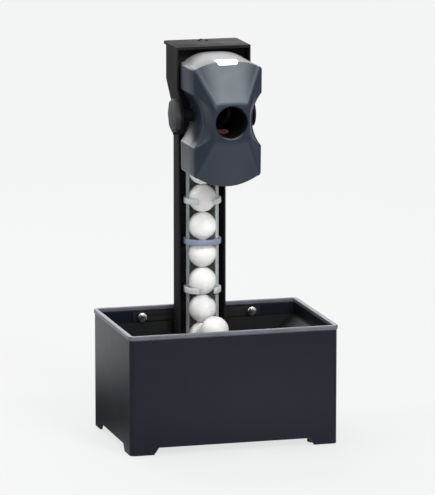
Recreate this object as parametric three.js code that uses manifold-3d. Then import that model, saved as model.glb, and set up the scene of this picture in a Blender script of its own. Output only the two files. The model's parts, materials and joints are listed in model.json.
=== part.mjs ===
import * as THREE from 'three';
import { mergeVertices } from 'three/addons/utils/BufferGeometryUtils.js';
import Module from 'manifold-3d';

// Table tennis robot: a ball bin, a mast with a clear feed tube, and a throwing head in a yoke.
// Millimetres. X runs to the right as seen from the front, the front faces -Y, and Z is up.
// The origin is the middle of the bin's underside, on the surface that the robot stands on.

const wasm = await Module();
wasm.setup();

// Fits and cutters
const seatGap = 0.3;
const runGap = 0.4;
const overrun = 4;

// Ball
const ballRadius = 20;
const ballGap = 0.2;

// Bin
const binWidth = 306;
const binDepth = 212;
const binHeight = 172;
const binCornerRadius = 9;
const binWall = 3.5;
const rimOverhang = 1.5;
const rimHeight = 6.5;
const rimRound = 1.6;
const skirtClearance = 1;
const archHeight = 11;
const archEndWidth = 36;
const archSlant = 7;
const baseLedgeHeight = 16;
const baseLedgeThickness = 3;
const baseLedgeReach = 6;
const trayLedgeDrop = 3;
const trayLedgeReach = 3.5;
const trayLedgeThickness = 2.5;

// Base plate and feet
const basePlateThickness = 3;
const footRadius = 12;
const footTopRadius = 10;
const footInset = 27;

// Clear feed tube, which is also the axis that the head swings about
const tubeBallGap = 1.2;
const tubeWall = 2.3;
const tubeLift = 3.2;
const tubeTopDrop = 73;

// Hopper tray, and the round well that the feed disc turns in
const trayThickness = 2.5;
const slopeDrop = 35;
const wellDepth = 24;
const wellEdgeGap = 3;
const wellFlangeReach = 4.8;
const wellRound = 4;

// Feed disc
const pocketCircleRadius = 54;
const pocketCount = 6;
const pocketBallGap = 1.8;
const discDrop = 1.2;
const discThickness = 10;
const hubDomeRadius = 30;
const hubDomeRise = 17.5;
const feedShaftRadius = 3;

// Lift ramp below the tube
const rampWidth = 22;
const rampArc = 48;
const rampGap = 2;

// Feed gear motor
const gearboxRadius = 22;
const gearboxLength = 24;
const feedMotorRadius = 18;
const feedMotorGap = 7.8;
const feedBossRadius = 6.5;
const feedBossLength = 2.2;

// Control board
const boardWidth = 64;
const boardDepth = 104;
const boardThickness = 1.6;
const boardLift = 6;
const boardWallGap = 12;
const boardPostRadius = 3;
const boardPostInset = 5;
const chipWidth = 22;
const chipDepth = 30;
const chipHeight = 9;

// Power inlet and switch in the bin's back wall
const socketHeight = 46;
const socketSpacing = 34;
const inletInset = 57;
const inletRadius = 7;
const inletFlangeWidth = 22;
const inletDepth = 14;
const inletPinRadius = 1.4;
const inletBore = 3.4;
const switchWidth = 15;
const switchHeight = 21;
const switchDepth = 13;
const switchWall = 1.4;
const switchFlange = 2.5;
const socketFlangeThickness = 1.2;
const rockerTravel = 14;
const rockerThickness = 3.6;

// Mast, its bracket on the bin's back wall and its bolts
const mastWidth = 70;
const mastWall = 2.5;
const mastLift = 7.6;
const mastCornerRadius = 3;
const mastClipGap = 1.2;
const bracketThickness = 2.7;
const bracketBarWidth = 190;
const bracketBarHeight = 14;
const bracketBarDrop = 1.5;
const bracketTongueWidth = 60;
const bracketFootDepth = 14;
const thumbBoltInset = 13;
const thumbBoltHeadRadius = 6.5;
const thumbBoltHeadLength = 6;
const thumbBoltShankRadius = 3;
const mastBoltShares = [0.23, 0.77];
const mastBoltHeadRadius = 5;
const mastBoltHeadLength = 3;
const mastBoltShankRadius = 2.5;

// Tube clips and foot. The middle clip is a closed collar.
const clipShares = [0.31, 0.565, 0.777];
const collarIndex = 1;
const clipRingWidth = 3.2;
const clipHeight = 8;
const clipFootWidth = 16;
const clipMouth = 22;
const tubeFootHeight = 12;
const tubeFootWall = 4;

// Mast head, with the bearing that the yoke hangs from
const bearingThickness = 10;
const bearingNoseRadius = 12;
const bearingBossRadius = 10;
const bearingBossHeight = 4.6;
const bearingDepth = 30;

// Swing drive
const gearModule = 1;
const panGearTeeth = 28;
const pinionTeeth = 14;
const gearAddendumShare = 0.85;
const gearDedendumShare = 1.2;
const pressureAngle = 20;
const gearThickness = 6;
const gearHeadGap = 5;
const gearSpread = 0.25;
const gearBacklash = 0.28;
const pinionBearing = 150;
const panShaftRadius = 5;
const panFlangeRadius = 9;
const panFlangeThickness = 2.8;
const panMotorRadius = 12;
const panMotorLength = 30;
const panMotorNeckRadius = 4;
const pinionShaftRadius = 1.5;
const pinionBoreDepth = 6;
const motorPlateThickness = 1.7;
const motorPlateWidth = 27;
const motorPlateDrop = 22;

// Yoke
const yokeSideGap = 1.5;
const yokeHeadGap = 3;
const yokeWall = 2.5;
const yokeTopThickness = 4;
const yokeTopReach = 62;
const yokeTopTail = 13;
const yokeCornerRadius = 5;
const cheekInset = 16;
const cheekShoulderRise = 35;
const cheekBackRise = 43;
const cheekBossRadius = 19;
const cheekBossFrontAngle = 110;
const cheekBossBackAngle = 315;
const crossPlateThickness = 3;
const crossPlateDrop = 33;

// Ball elbow between the tube and the head
const elbowBallGap = 2;
const elbowWall = 2.5;
const elbowBend = 34;
const elbowHeadGap = 8;
const elbowSleeveLength = 12;
const elbowSleeveWall = 3.7;
const elbowFlangeWidth = 5.5;
const elbowFlangeThickness = 3;

// Head: place, tilt axis and outline
const throwLift = 293;
const tiltReach = 72;
const headReach = 63;
const headTail = 13;
const headWall = 2.5;
const headHalfWidth = 50;
const headNarrowing = 1.5;
const headShoulderGap = 0.5;
const headChinGap = 6;
const headCrown = 8;
const headChinArch = 13;
const headTopRise = 13;
const crownPower = 3;
const headCornerRadius = 5;
const waistHalfHeight = 37.5;
const waistDepth = 13.5;
const frontRound = 2;
const rearRound = 6;

// Nose
const noseLength = 22;
const nozzleBallGap = 3;
const noseLip = 2.8;
const noseCornerRadius = 5.5;
const noseSeatDepth = 6;
const noseSeatGap = 0.7;

// Head chassis: the barrel with its motor tabs and trunnions
const barrelBallGap = 2;
const barrelWall = 2.5;
const barrelRearGap = 2;
const barrelFlareWidth = 4;
const barrelFlareLength = 7;
const rearInletGap = 2.5;
const trunnionRadius = 9;
const trunnionReach = 1.5;
const trunnionBore = 4.3;
const trunnionBoreDepth = 14;
const motorTabThickness = 2.5;
const motorTabDepth = 30;

// Throwing wheels and their motors
const wheelRadius = 28;
const wheelWidth = 22;
const wheelReach = 25;
const nipSqueeze = 1.5;
const tyreThickness = 6;
const tyreCrown = 1;
const wheelGap = 1.5;
const hubRimThickness = 2.5;
const hubBossRadius = 7;
const hubWebWidth = 6;
const wheelShaftRadius = 2;
const wheelShaftReach = 10;
const headMotorRadius = 13;
const headMotorGap = 4.5;

// Status lens at the top of the nose
const lensTopWidth = 42;
const lensBottomWidth = 25;
const lensHeight = 10.5;
const lensDepth = 16;
const lensRise = 6;

// Tilt knob on the left, and the pivot screw on the right
const knobRadius = 24;
const knobThickness = 8;
const knobLobes = 8;
const knobLobeDepth = 1.6;
const pivotHeadRadius = 7;
const pivotHeadThickness = 1.6;
const pivotSocketRadius = 2.6;

// Loose ball, which lies on the hub dome and leans on the tube
const looseBallShift = 6.5;

// Facet counts
const roundSteps = 24;
const smallSteps = 12;
const discSteps = 32;
const wheelSteps = 20;
const boltSides = 6;
const cornerSteps = 3;
const traySteps = 28;
const capSteps = 4;
const crownSteps = 8;
const waistSteps = 6;
const bendSteps = 4;
const arcSteps = 2;
const bossSteps = 7;
const ballSteps = 14;

// Values worked out from the sizes above
const wallInset = rimOverhang + binWall;
const wallInnerBack = binDepth / 2 - wallInset;
const wallOuterBack = binDepth / 2 - rimOverhang;
const rimUnderside = binHeight - rimHeight;
const bracketTop = rimUnderside - bracketBarDrop;
const bracketBarBottom = bracketTop - bracketBarHeight;
const bracketBack = wallInnerBack - seatGap;
const bracketFront = bracketBack - bracketThickness;
const basePlateTop = baseLedgeHeight - seatGap;
const basePlateBottom = basePlateTop - basePlateThickness;
const trayLedgeHeight = bracketBarBottom - trayLedgeDrop;
const wellEdgeHeight = trayLedgeHeight - slopeDrop;
const wellFloorHeight = wellEdgeHeight - wellDepth;
const wellUnderside = wellFloorHeight - trayThickness;
const discTop = wellEdgeHeight - discDrop;
const discUnderside = discTop - discThickness;

const mastBack = bracketFront - seatGap;
const mastWebFront = mastBack - mastWall;
const mastBottom = discTop + mastLift;
const tubeInnerRadius = ballRadius + tubeBallGap;
const tubeOuterRadius = tubeInnerRadius + tubeWall;
const clipInner = tubeOuterRadius + seatGap;
const clipOuter = clipInner + clipRingWidth;
const columnBack = mastWebFront - mastClipGap - clipOuter;
const mastFront = columnBack;
const tubeBottom = discTop + tubeLift;

const pocketRadius = ballRadius + pocketBallGap;
const discRadius = pocketCircleRadius + ballRadius;
const wellRadius = discRadius + wellEdgeGap;
const wellCentreBack = columnBack - pocketCircleRadius;

const throwHeight = binHeight + throwLift;
const tubeTop = throwHeight - tubeTopDrop;
const tiltBack = columnBack - tiltReach;
const headFront = tiltBack - headReach;
const headRear = tiltBack + headTail;
const wheelBack = tiltBack - wheelReach;
const wheelRise = wheelRadius + ballRadius - nipSqueeze;
const upperWheelHeight = throwHeight + wheelRise;
const lowerWheelHeight = throwHeight - wheelRise;
const headShoulderHeight = upperWheelHeight + wheelRadius + headShoulderGap;
const headChinHeight = lowerWheelHeight - wheelRadius - headChinGap;
const waistRadius = (waistHalfHeight ** 2 + waistDepth ** 2) / (2 * waistDepth);

const cheekInner = headHalfWidth + yokeSideGap;
const cheekOuter = cheekInner + yokeWall;
const yokeTopUnderside = headShoulderHeight + headTopRise + yokeHeadGap;
const yokeTop = yokeTopUnderside + yokeTopThickness;
const yokeTopFront = columnBack - yokeTopReach;
const yokeTopBack = columnBack + yokeTopTail;
const bearingTop = yokeTopUnderside - seatGap - panFlangeThickness - seatGap;
const mastTop = bearingTop - bearingBossHeight;
const gearTop = mastTop - bearingThickness - gearHeadGap;
const gearBottom = gearTop - gearThickness;

const elbowBore = ballRadius + elbowBallGap;
const elbowRadius = elbowBore + elbowWall;
const barrelBore = ballRadius + barrelBallGap;
const barrelRadius = barrelBore + barrelWall;
const barrelRear = headRear - barrelRearGap;

const binColour = 0x2a2d36;
const trayColour = 0x17181b;
const mastColour = 0x3c3b3d;
const headColour = 0x5c5f66;
const rubberColour = 0x141414;

// Geometry helpers

function toSolid(geometry) {
  const bare = geometry.clone();
  for (const name of Object.keys(bare.attributes)) {
    if (name !== 'position') bare.deleteAttribute(name);
  }
  const merged = mergeVertices(bare, 1e-4);
  return new wasm.Manifold(new wasm.Mesh({
    numProp: 3,
    vertProperties: new Float32Array(merged.attributes.position.array),
    triVerts: new Uint32Array(merged.index.array),
  }));
}

function toGeometry(solid) {
  const mesh = solid.getMesh();
  const geometry = new THREE.BufferGeometry();
  const positions = new Float32Array(mesh.numVert * 3);
  for (let i = 0; i < mesh.numVert; i++) {
    for (let k = 0; k < 3; k++) positions[3 * i + k] = mesh.vertProperties[mesh.numProp * i + k];
  }
  geometry.setAttribute('position', new THREE.BufferAttribute(positions, 3));
  geometry.setIndex(Array.from(mesh.triVerts));
  geometry.computeVertexNormals();
  return geometry;
}

function joined(first, ...others) {
  return toGeometry(others.reduce((solid, other) => solid.add(toSolid(other)), toSolid(first)));
}

function cut(first, ...cutters) {
  return toGeometry(cutters.reduce((solid, other) => solid.subtract(toSolid(other)), toSolid(first)));
}

function common(first, second) {
  return toGeometry(toSolid(first).intersect(toSolid(second)));
}

// A box between two corners
function block(left, right, front, back, bottom, top) {
  const box = new THREE.BoxGeometry(right - left, back - front, top - bottom);
  return box.translate((left + right) / 2, (front + back) / 2, (bottom + top) / 2);
}

// A round bar along X, Y or Z, from one value on that axis to another
function bar(axis, radius, from, to, across = [0, 0], steps = roundSteps) {
  const shape = new THREE.CylinderGeometry(radius, radius, to - from, steps);
  const middle = (from + to) / 2;
  if (axis === 'x') return shape.rotateZ(Math.PI / 2).translate(middle, across[0], across[1]);
  if (axis === 'y') return shape.translate(across[0], middle, across[1]);
  return shape.rotateX(Math.PI / 2).translate(across[0], across[1], middle);
}

// A body of revolution about Z from [radius, height] pairs that close on themselves
function turned(profile, steps = roundSteps) {
  const points = profile.map(([radius, height]) => new THREE.Vector2(radius, height));
  return outward(new THREE.LatheGeometry(points, steps).rotateX(Math.PI / 2));
}

// Turns a mesh's faces outward where its winding came out reversed
function outward(geometry) {
  const plain = geometry.index ? geometry.toNonIndexed() : geometry;
  const p = plain.attributes.position;
  const a = new THREE.Vector3();
  const b = new THREE.Vector3();
  const c = new THREE.Vector3();
  let volume = 0;
  for (let i = 0; i < p.count; i += 3) {
    a.fromBufferAttribute(p, i);
    b.fromBufferAttribute(p, i + 1);
    c.fromBufferAttribute(p, i + 2);
    volume += a.dot(b.cross(c));
  }
  if (volume >= 0) return geometry;
  for (let i = 0; i < p.count; i += 3) {
    b.fromBufferAttribute(p, i + 1);
    c.fromBufferAttribute(p, i + 2);
    p.setXYZ(i + 1, c.x, c.y, c.z);
    p.setXYZ(i + 2, b.x, b.y, b.z);
  }
  return plain;
}

// A skin over rings of equal counts. A looped skin joins its last ring to its first,
// and any other is closed with a fan at each end.
function loft(rings, looped = false) {
  const count = rings[0].length;
  const points = rings.flat();
  const index = [];
  const spans = looped ? rings.length : rings.length - 1;
  for (let r = 0; r < spans; r++) {
    const next = (r + 1) % rings.length;
    for (let i = 0; i < count; i++) {
      const j = (i + 1) % count;
      const corners = [r * count + i, r * count + j, next * count + j, next * count + i];
      index.push(corners[0], corners[1], corners[2], corners[0], corners[2], corners[3]);
    }
  }
  if (!looped) {
    for (const [ring, flip] of [[0, true], [rings.length - 1, false]]) {
      const centre = new THREE.Vector3();
      for (const point of rings[ring]) centre.add(point);
      points.push(centre.divideScalar(count));
      for (let i = 0; i < count; i++) {
        const pair = [ring * count + i, ring * count + (i + 1) % count];
        if (flip) pair.reverse();
        index.push(points.length - 1, ...pair);
      }
    }
  }
  const geometry = new THREE.BufferGeometry().setFromPoints(points);
  geometry.setIndex(index);
  return outward(geometry);
}

// A flat outline drawn in Y and Z, as thick as the given stretch of X
function cheekPlate(shape, left, right, steps = arcSteps) {
  const geometry = new THREE.ExtrudeGeometry(shape, {
    depth: right - left, bevelEnabled: false, curveSegments: steps,
  });
  const basis = new THREE.Matrix4().makeBasis(
    new THREE.Vector3(0, 1, 0), new THREE.Vector3(0, 0, 1), new THREE.Vector3(1, 0, 0),
  );
  return geometry.applyMatrix4(basis).translate(left, 0, 0);
}

// A flat outline drawn in X and Z, as thick as the given stretch of Y
function wallPlate(shape, front, back) {
  const geometry = new THREE.ExtrudeGeometry(shape, {
    depth: back - front, bevelEnabled: false, curveSegments: arcSteps,
  });
  return geometry.rotateX(Math.PI / 2).translate(0, back, 0);
}

// A flat outline drawn in X and Y, as thick as the given stretch of Z
function floorPlate(shape, bottom, top, steps = arcSteps) {
  const geometry = new THREE.ExtrudeGeometry(shape, {
    depth: top - bottom, bevelEnabled: false, curveSegments: steps,
  });
  return geometry.translate(0, 0, bottom);
}

function polygon(points) {
  return new THREE.Shape(points.map(([x, y]) => new THREE.Vector2(x, y)));
}

// A rectangle with rounded corners between two corners of a plane
function roundedRectangle(left, right, low, high, radius) {
  const shape = new THREE.Shape();
  shape.moveTo(right - radius, low);
  shape.absarc(right - radius, low + radius, radius, -Math.PI / 2, 0);
  shape.absarc(right - radius, high - radius, radius, 0, Math.PI / 2);
  shape.absarc(left + radius, high - radius, radius, Math.PI / 2, Math.PI);
  shape.absarc(left + radius, low + radius, radius, Math.PI, 1.5 * Math.PI);
  return shape;
}

const scene = new THREE.Group();

function add(name, geometry, colour, finish = {}) {
  const material = new THREE.MeshStandardMaterial({
    color: colour, roughness: 0.5, metalness: 0, ...finish,
  });
  const mesh = new THREE.Mesh(geometry, material);
  mesh.name = name;
  scene.add(mesh);
  return mesh;
}

const satinPlastic = { roughness: 0.45 };
const glossPlastic = { roughness: 0.25 };
const paintedSteel = { roughness: 0.5, metalness: 0.4 };
const brightSteel = { roughness: 0.25, metalness: 1 };

// Bin: one skin from the skirt up the outside, over the rim and down the inside,
// with a ledge for the tray and another for the base plate

function binRing(inset, height) {
  const radius = Math.max(binCornerRadius - inset, rimRound);
  const x = binWidth / 2 - inset - radius;
  const y = binDepth / 2 - inset - radius;
  const ring = [];
  for (const [sx, sy, start] of [[1, -1, -90], [1, 1, 0], [-1, 1, 90], [-1, -1, 180]]) {
    for (let i = 0; i <= cornerSteps; i++) {
      const angle = THREE.MathUtils.degToRad(start + 90 * i / cornerSteps);
      const px = sx * x + radius * Math.cos(angle);
      const py = sy * y + radius * Math.sin(angle);
      ring.push(new THREE.Vector3(px, py, height));
    }
  }
  return ring;
}

const rimInset = wallInset + rimOverhang;
const binProfile = [
  [rimOverhang, skirtClearance],
  [rimOverhang, rimUnderside],
  [0, rimUnderside + rimOverhang],
  [0, binHeight - rimRound],
  [rimRound, binHeight],
  [rimInset - rimRound, binHeight],
  [rimInset, binHeight - rimRound],
  [rimInset, rimUnderside + rimOverhang],
  [wallInset, rimUnderside],
  [wallInset, trayLedgeHeight],
  [wallInset + trayLedgeReach, trayLedgeHeight],
  [wallInset + trayLedgeReach, trayLedgeHeight - trayLedgeThickness],
  [wallInset, trayLedgeHeight - trayLedgeThickness - trayLedgeReach],
  [wallInset, baseLedgeHeight + baseLedgeThickness],
  [wallInset + baseLedgeReach, baseLedgeHeight + baseLedgeThickness],
  [wallInset + baseLedgeReach, baseLedgeHeight],
  [wallInset, baseLedgeHeight],
  [wallInset, skirtClearance],
];
const binSkin = loft(binProfile.map(([inset, height]) => binRing(inset, height)), true);

// The skirt is raised between its corners, with slanted ends
function archShape(length) {
  const foot = length / 2 - archEndWidth;
  const top = foot - archSlant;
  return polygon([[-foot, -overrun], [foot, -overrun], [foot, skirtClearance], [top, archHeight],
    [-top, archHeight], [-foot, skirtClearance]]);
}
const frontArch = wallPlate(archShape(binWidth), -binDepth / 2 - overrun, binDepth / 2 + overrun);
const sideArch = cheekPlate(archShape(binDepth), -binWidth / 2 - overrun, binWidth / 2 + overrun);

const inletSide = binWidth / 2 - inletInset;
const switchSide = inletSide - socketSpacing;
const inletHole = bar('y', inletRadius + seatGap, wallInnerBack - overrun, wallOuterBack + overrun,
  [inletSide, socketHeight], smallSteps);
const switchHole = block(
  switchSide - switchWidth / 2 - seatGap, switchSide + switchWidth / 2 + seatGap,
  wallInnerBack - overrun, wallOuterBack + overrun,
  socketHeight - switchHeight / 2 - seatGap, socketHeight + switchHeight / 2 + seatGap,
);
const thumbBoltHeight = bracketBarBottom + bracketBarHeight / 2;
const thumbBoltSide = bracketBarWidth / 2 - thumbBoltInset;
const thumbBoltSides = [-thumbBoltSide, thumbBoltSide];
function thumbBoltHole(side) {
  return bar('y', thumbBoltShankRadius + seatGap, bracketFront - overrun, wallOuterBack + overrun,
    [side, thumbBoltHeight], smallSteps);
}
// The two ledges stop short of the mast and its bracket
const ledgeNotch = block(-mastWidth / 2 - runGap, mastWidth / 2 + runGap, 0, wallInnerBack,
  basePlateBottom, rimUnderside);
add('bin_shell', cut(binSkin, frontArch, sideArch, ledgeNotch, inletHole, switchHole,
  ...thumbBoltSides.map(thumbBoltHole)), binColour, satinPlastic);

// Base plate, up against the lower ledge from below

const basePlateInset = wallInset + seatGap;
const basePlate = floorPlate(roundedRectangle(
  -binWidth / 2 + basePlateInset, binWidth / 2 - basePlateInset,
  -binDepth / 2 + basePlateInset, binDepth / 2 - basePlateInset,
  binCornerRadius - wallInset,
), basePlateBottom, basePlateTop);
add('base_plate', basePlate, trayColour, satinPlastic);

const footProfile = [[0, 0], [footRadius, 0], [footTopRadius, basePlateBottom], [0, basePlateBottom]];
for (const [name, sx, sy] of [['front_left', -1, -1], ['front_right', 1, -1],
  ['back_left', -1, 1], ['back_right', 1, 1]]) {
  const foot = add(`foot_${name}`, turned(footProfile, smallSteps), rubberColour, { roughness: 0.9 });
  foot.position.set(sx * (binWidth / 2 - footInset), sy * (binDepth / 2 - footInset), 0);
}

// Hopper tray: slopes from the bin's walls to the round well that lies in it.
// Its rings share their bearings from the well's centre: even ones, and one to each corner.

const traySide = binWidth / 2 - wallInset - runGap;
const trayEnd = binDepth / 2 - wallInset - runGap;
const trayBearings = [];
for (let i = 0; i < traySteps; i++) trayBearings.push(Math.PI * (2 * i / traySteps - 1));
for (const sx of [-1, 1]) {
  for (const sy of [-1, 1]) trayBearings.push(Math.atan2(sy * trayEnd - wellCentreBack, sx * traySide));
}
trayBearings.sort((first, second) => first - second);

function wellRing(radius, height) {
  return trayBearings.map((angle) => new THREE.Vector3(
    radius * Math.cos(angle), wellCentreBack + radius * Math.sin(angle), height,
  ));
}

function trayRectangle(inset, height) {
  return trayBearings.map((angle) => {
    const room = trayEnd - inset - wellCentreBack * Math.sign(Math.sin(angle));
    const reach = Math.min((traySide - inset) / Math.abs(Math.cos(angle)), room / Math.abs(Math.sin(angle)));
    return new THREE.Vector3(reach * Math.cos(angle), wellCentreBack + reach * Math.sin(angle), height);
  });
}

const trayRimTop = trayLedgeHeight + trayThickness;
const trayRimReach = trayLedgeReach + trayThickness;
const lipTop = wellEdgeHeight - trayThickness - seatGap;
const lipRadius = wellRadius + trayThickness + seatGap;
const rebateRadius = wellRadius + wellFlangeReach + seatGap;
const traySkin = loft([
  wellRing(lipRadius, lipTop),
  wellRing(rebateRadius, lipTop),
  wellRing(rebateRadius, wellEdgeHeight),
  trayRectangle(trayRimReach, trayRimTop),
  trayRectangle(0, trayRimTop),
  trayRectangle(0, trayLedgeHeight),
  trayRectangle(trayLedgeReach, trayLedgeHeight),
  wellRing(rebateRadius + trayThickness, lipTop - trayThickness),
  wellRing(lipRadius, lipTop - trayThickness),
], true);
const mastNotch = block(-mastWidth / 2 - runGap, mastWidth / 2 + runGap, mastFront, binDepth / 2,
  mastBottom - seatGap, binHeight);
const trayOutline = floorPlate(roundedRectangle(-traySide, traySide, -trayEnd, trayEnd, binCornerRadius),
  wellUnderside, binHeight);
add('hopper_tray', cut(common(traySkin, trayOutline), mastNotch), trayColour, satinPlastic);

// Feed well: a round cup that hangs by its flange in the tray's rebate

const wellSkin = loft([
  wellRing(wellRadius - wellRound, wellFloorHeight),
  wellRing(wellRadius, wellFloorHeight + wellRound),
  wellRing(wellRadius, wellEdgeHeight),
  wellRing(wellRadius + wellFlangeReach, wellEdgeHeight),
  wellRing(wellRadius + wellFlangeReach, wellEdgeHeight - trayThickness),
  wellRing(wellRadius + trayThickness, wellEdgeHeight - trayThickness),
  wellRing(wellRadius + trayThickness, wellUnderside + wellRound),
  wellRing(wellRadius - wellRound, wellUnderside),
]);
const feedShaftHole = bar('z', feedBossRadius + seatGap, wellUnderside - overrun, wellFloorHeight + overrun,
  [0, wellCentreBack], smallSteps);
add('feed_well', cut(wellSkin, feedShaftHole), trayColour, satinPlastic);

// Lift ramp: an arc wedge on the well's floor that raises each ball under the tube

const rampTop = discUnderside - rampGap;
const rampRings = [];
for (let i = 0; i <= bendSteps; i++) {
  const share = i / bendSteps;
  const angle = THREE.MathUtils.degToRad(90 + rampArc * (0.5 - share));
  const top = THREE.MathUtils.lerp(wellFloorHeight + seatGap + trayThickness, rampTop, share);
  const ring = [];
  for (const [radial, height] of [[-1, wellFloorHeight + seatGap], [1, wellFloorHeight + seatGap],
    [1, top], [-1, top]]) {
    const radius = pocketCircleRadius + radial * rampWidth / 2;
    const back = wellCentreBack + radius * Math.sin(angle);
    ring.push(new THREE.Vector3(radius * Math.cos(angle), back, height));
  }
  rampRings.push(ring);
}
add('lift_ramp', loft(rampRings), trayColour, glossPlastic);

// Feed disc with its pockets, hub dome and shaft

const discPlate = bar('z', discRadius, discUnderside, discTop, [0, wellCentreBack], discSteps);
const pockets = [];
for (let i = 0; i < pocketCount; i++) {
  const angle = 2 * Math.PI * i / pocketCount;
  pockets.push(bar('z', pocketRadius, discUnderside - overrun, discTop + overrun, [
    pocketCircleRadius * Math.cos(angle), wellCentreBack + pocketCircleRadius * Math.sin(angle),
  ]));
}
const domeProfile = [[0, discUnderside]];
const domeCentre = discTop + hubDomeRise - hubDomeRadius;
const domeFoot = Math.asin((discTop - domeCentre) / hubDomeRadius);
domeProfile.push([hubDomeRadius * Math.cos(domeFoot), discUnderside]);
for (let i = 0; i <= capSteps; i++) {
  const angle = THREE.MathUtils.lerp(domeFoot, Math.PI / 2, i / capSteps);
  const radius = i === capSteps ? 0 : hubDomeRadius * Math.cos(angle);
  domeProfile.push([radius, domeCentre + hubDomeRadius * Math.sin(angle)]);
}
const hubDome = turned(domeProfile).translate(0, wellCentreBack, 0);
const gearboxTop = wellUnderside;
const feedShaftBottom = gearboxTop - gearboxLength / 2;
const feedShaft = bar('z', feedShaftRadius, feedShaftBottom, discUnderside + overrun, [0, wellCentreBack],
  smallSteps);
add('feed_disc', joined(cut(discPlate, ...pockets), hubDome, feedShaft), trayColour, glossPlastic);

// Feed gear motor, screwed up under the well

const gearboxBottom = gearboxTop - gearboxLength;
const gearbox = bar('z', gearboxRadius, gearboxBottom, gearboxTop, [0, wellCentreBack]);
const feedBoss = bar('z', feedBossRadius, gearboxTop - overrun, gearboxTop + feedBossLength,
  [0, wellCentreBack], smallSteps);
const feedMotorCan = bar('z', feedMotorRadius, basePlateTop + feedMotorGap, gearboxBottom + overrun,
  [0, wellCentreBack]);
const feedShaftBore = bar('z', feedShaftRadius + seatGap, feedShaftBottom - seatGap,
  gearboxTop + overrun, [0, wellCentreBack], smallSteps);
add('feed_motor', cut(joined(gearbox, feedBoss, feedMotorCan), feedShaftBore), 0xa8a9ab, brightSteel);

// Control board on posts

const boardTop = basePlateTop + boardLift + boardThickness;
const boardSide = binWidth / 2 - wallInset - boardWallGap - boardWidth / 2;
const boardParts = [block(-boardSide - boardWidth / 2, -boardSide + boardWidth / 2,
  -boardDepth / 2, boardDepth / 2, boardTop - boardThickness, boardTop)];
for (const sx of [-1, 1]) {
  for (const sy of [-1, 1]) {
    boardParts.push(bar('z', boardPostRadius, basePlateTop, boardTop, [
      -boardSide + sx * (boardWidth / 2 - boardPostInset), sy * (boardDepth / 2 - boardPostInset),
    ], smallSteps));
  }
}
boardParts.push(block(-boardSide - chipWidth / 2, -boardSide + chipWidth / 2,
  -chipDepth / 2, chipDepth / 2, boardTop - boardThickness / 2, boardTop + chipHeight));
add('control_board', joined(...boardParts), 0x1f4a30, { roughness: 0.6 });

// Power inlet and rocker switch, both inside the rim's overhang

const flangeBack = wallOuterBack + socketFlangeThickness;
const inletBody = bar('y', inletRadius, wallInnerBack - inletDepth, flangeBack, [inletSide, socketHeight],
  smallSteps);
const inletFlange = wallPlate(roundedRectangle(
  inletSide - inletFlangeWidth / 2, inletSide + inletFlangeWidth / 2,
  socketHeight - inletFlangeWidth / 2, socketHeight + inletFlangeWidth / 2, inletRadius / 2,
), wallOuterBack, flangeBack);
const inletMouth = bar('y', inletBore, wallInnerBack - inletDepth / 2, flangeBack + overrun,
  [inletSide, socketHeight], smallSteps);
const inletPin = bar('y', inletPinRadius, wallInnerBack - inletDepth / 2 - inletPinRadius, wallOuterBack,
  [inletSide, socketHeight], smallSteps);
add('power_inlet', joined(cut(joined(inletBody, inletFlange), inletMouth), inletPin), rubberColour,
  satinPlastic);

const switchFront = wallInnerBack - switchDepth;
const switchBody = block(switchSide - switchWidth / 2, switchSide + switchWidth / 2,
  switchFront, flangeBack, socketHeight - switchHeight / 2, socketHeight + switchHeight / 2);
const switchFrame = block(
  switchSide - switchWidth / 2 - switchFlange, switchSide + switchWidth / 2 + switchFlange,
  wallOuterBack, flangeBack,
  socketHeight - switchHeight / 2 - switchFlange, socketHeight + switchHeight / 2 + switchFlange,
);
const switchPocket = block(
  switchSide - switchWidth / 2 + switchWall, switchSide + switchWidth / 2 - switchWall,
  switchFront + switchWall, flangeBack + overrun,
  socketHeight - switchHeight / 2 + switchWall, socketHeight + switchHeight / 2 - switchWall,
);
add('switch_housing', cut(joined(switchBody, switchFrame), switchPocket), rubberColour, satinPlastic);

// The rocker is a shallow wedge on a round hub. It lies pressed in at its lower end.
const rockerHalf = switchHeight / 2 - switchWall - runGap;
const rockerHub = rockerHalf / 2;
const rockerLean = THREE.MathUtils.degToRad(rockerTravel / 2);
const rockerShape = polygon([
  [-rockerHub / 2, -rockerHub], [rockerHub / 2, -rockerHalf * Math.cos(rockerLean)],
  [rockerHub / 2 + rockerThickness / 2, 0], [rockerHub / 2, rockerHalf * Math.cos(rockerLean)],
  [-rockerHub / 2, rockerHub], [-rockerHub, 0],
]);
const rockerGeometry = cheekPlate(rockerShape, -switchWidth / 2 + switchWall + runGap,
  switchWidth / 2 - switchWall - runGap).rotateX(-rockerLean);
const rocker = add('power_rocker', rockerGeometry, 0xb02a24, glossPlastic);
rocker.position.set(switchSide, wallInnerBack, socketHeight);

// Mast bracket: a bar with two bright bolts on the bin's back wall, and a tongue down to the base plate

const bracketBar = block(-bracketBarWidth / 2, bracketBarWidth / 2, bracketFront, bracketBack,
  bracketBarBottom, bracketTop);
const bracketTongue = block(-bracketTongueWidth / 2, bracketTongueWidth / 2, bracketFront, bracketBack,
  basePlateTop, bracketTop);
const bracketFoot = block(-bracketTongueWidth / 2, bracketTongueWidth / 2, bracketBack - bracketFootDepth,
  bracketBack, basePlateTop, basePlateTop + bracketThickness);
const tubeFootTop = mastBottom + tubeFootHeight;
const mastBoltHeights = mastBoltShares.map((share) => THREE.MathUtils.lerp(tubeFootTop, bracketTop, share));
const mastBoltHoles = mastBoltHeights.map((height) => bar('y', mastBoltShankRadius + seatGap,
  mastWebFront - overrun, bracketBack + overrun, [0, height], smallSteps));
add('mast_bracket', cut(joined(bracketBar, bracketTongue, bracketFoot),
  ...thumbBoltSides.map(thumbBoltHole), ...mastBoltHoles), mastColour, paintedSteel);

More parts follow.
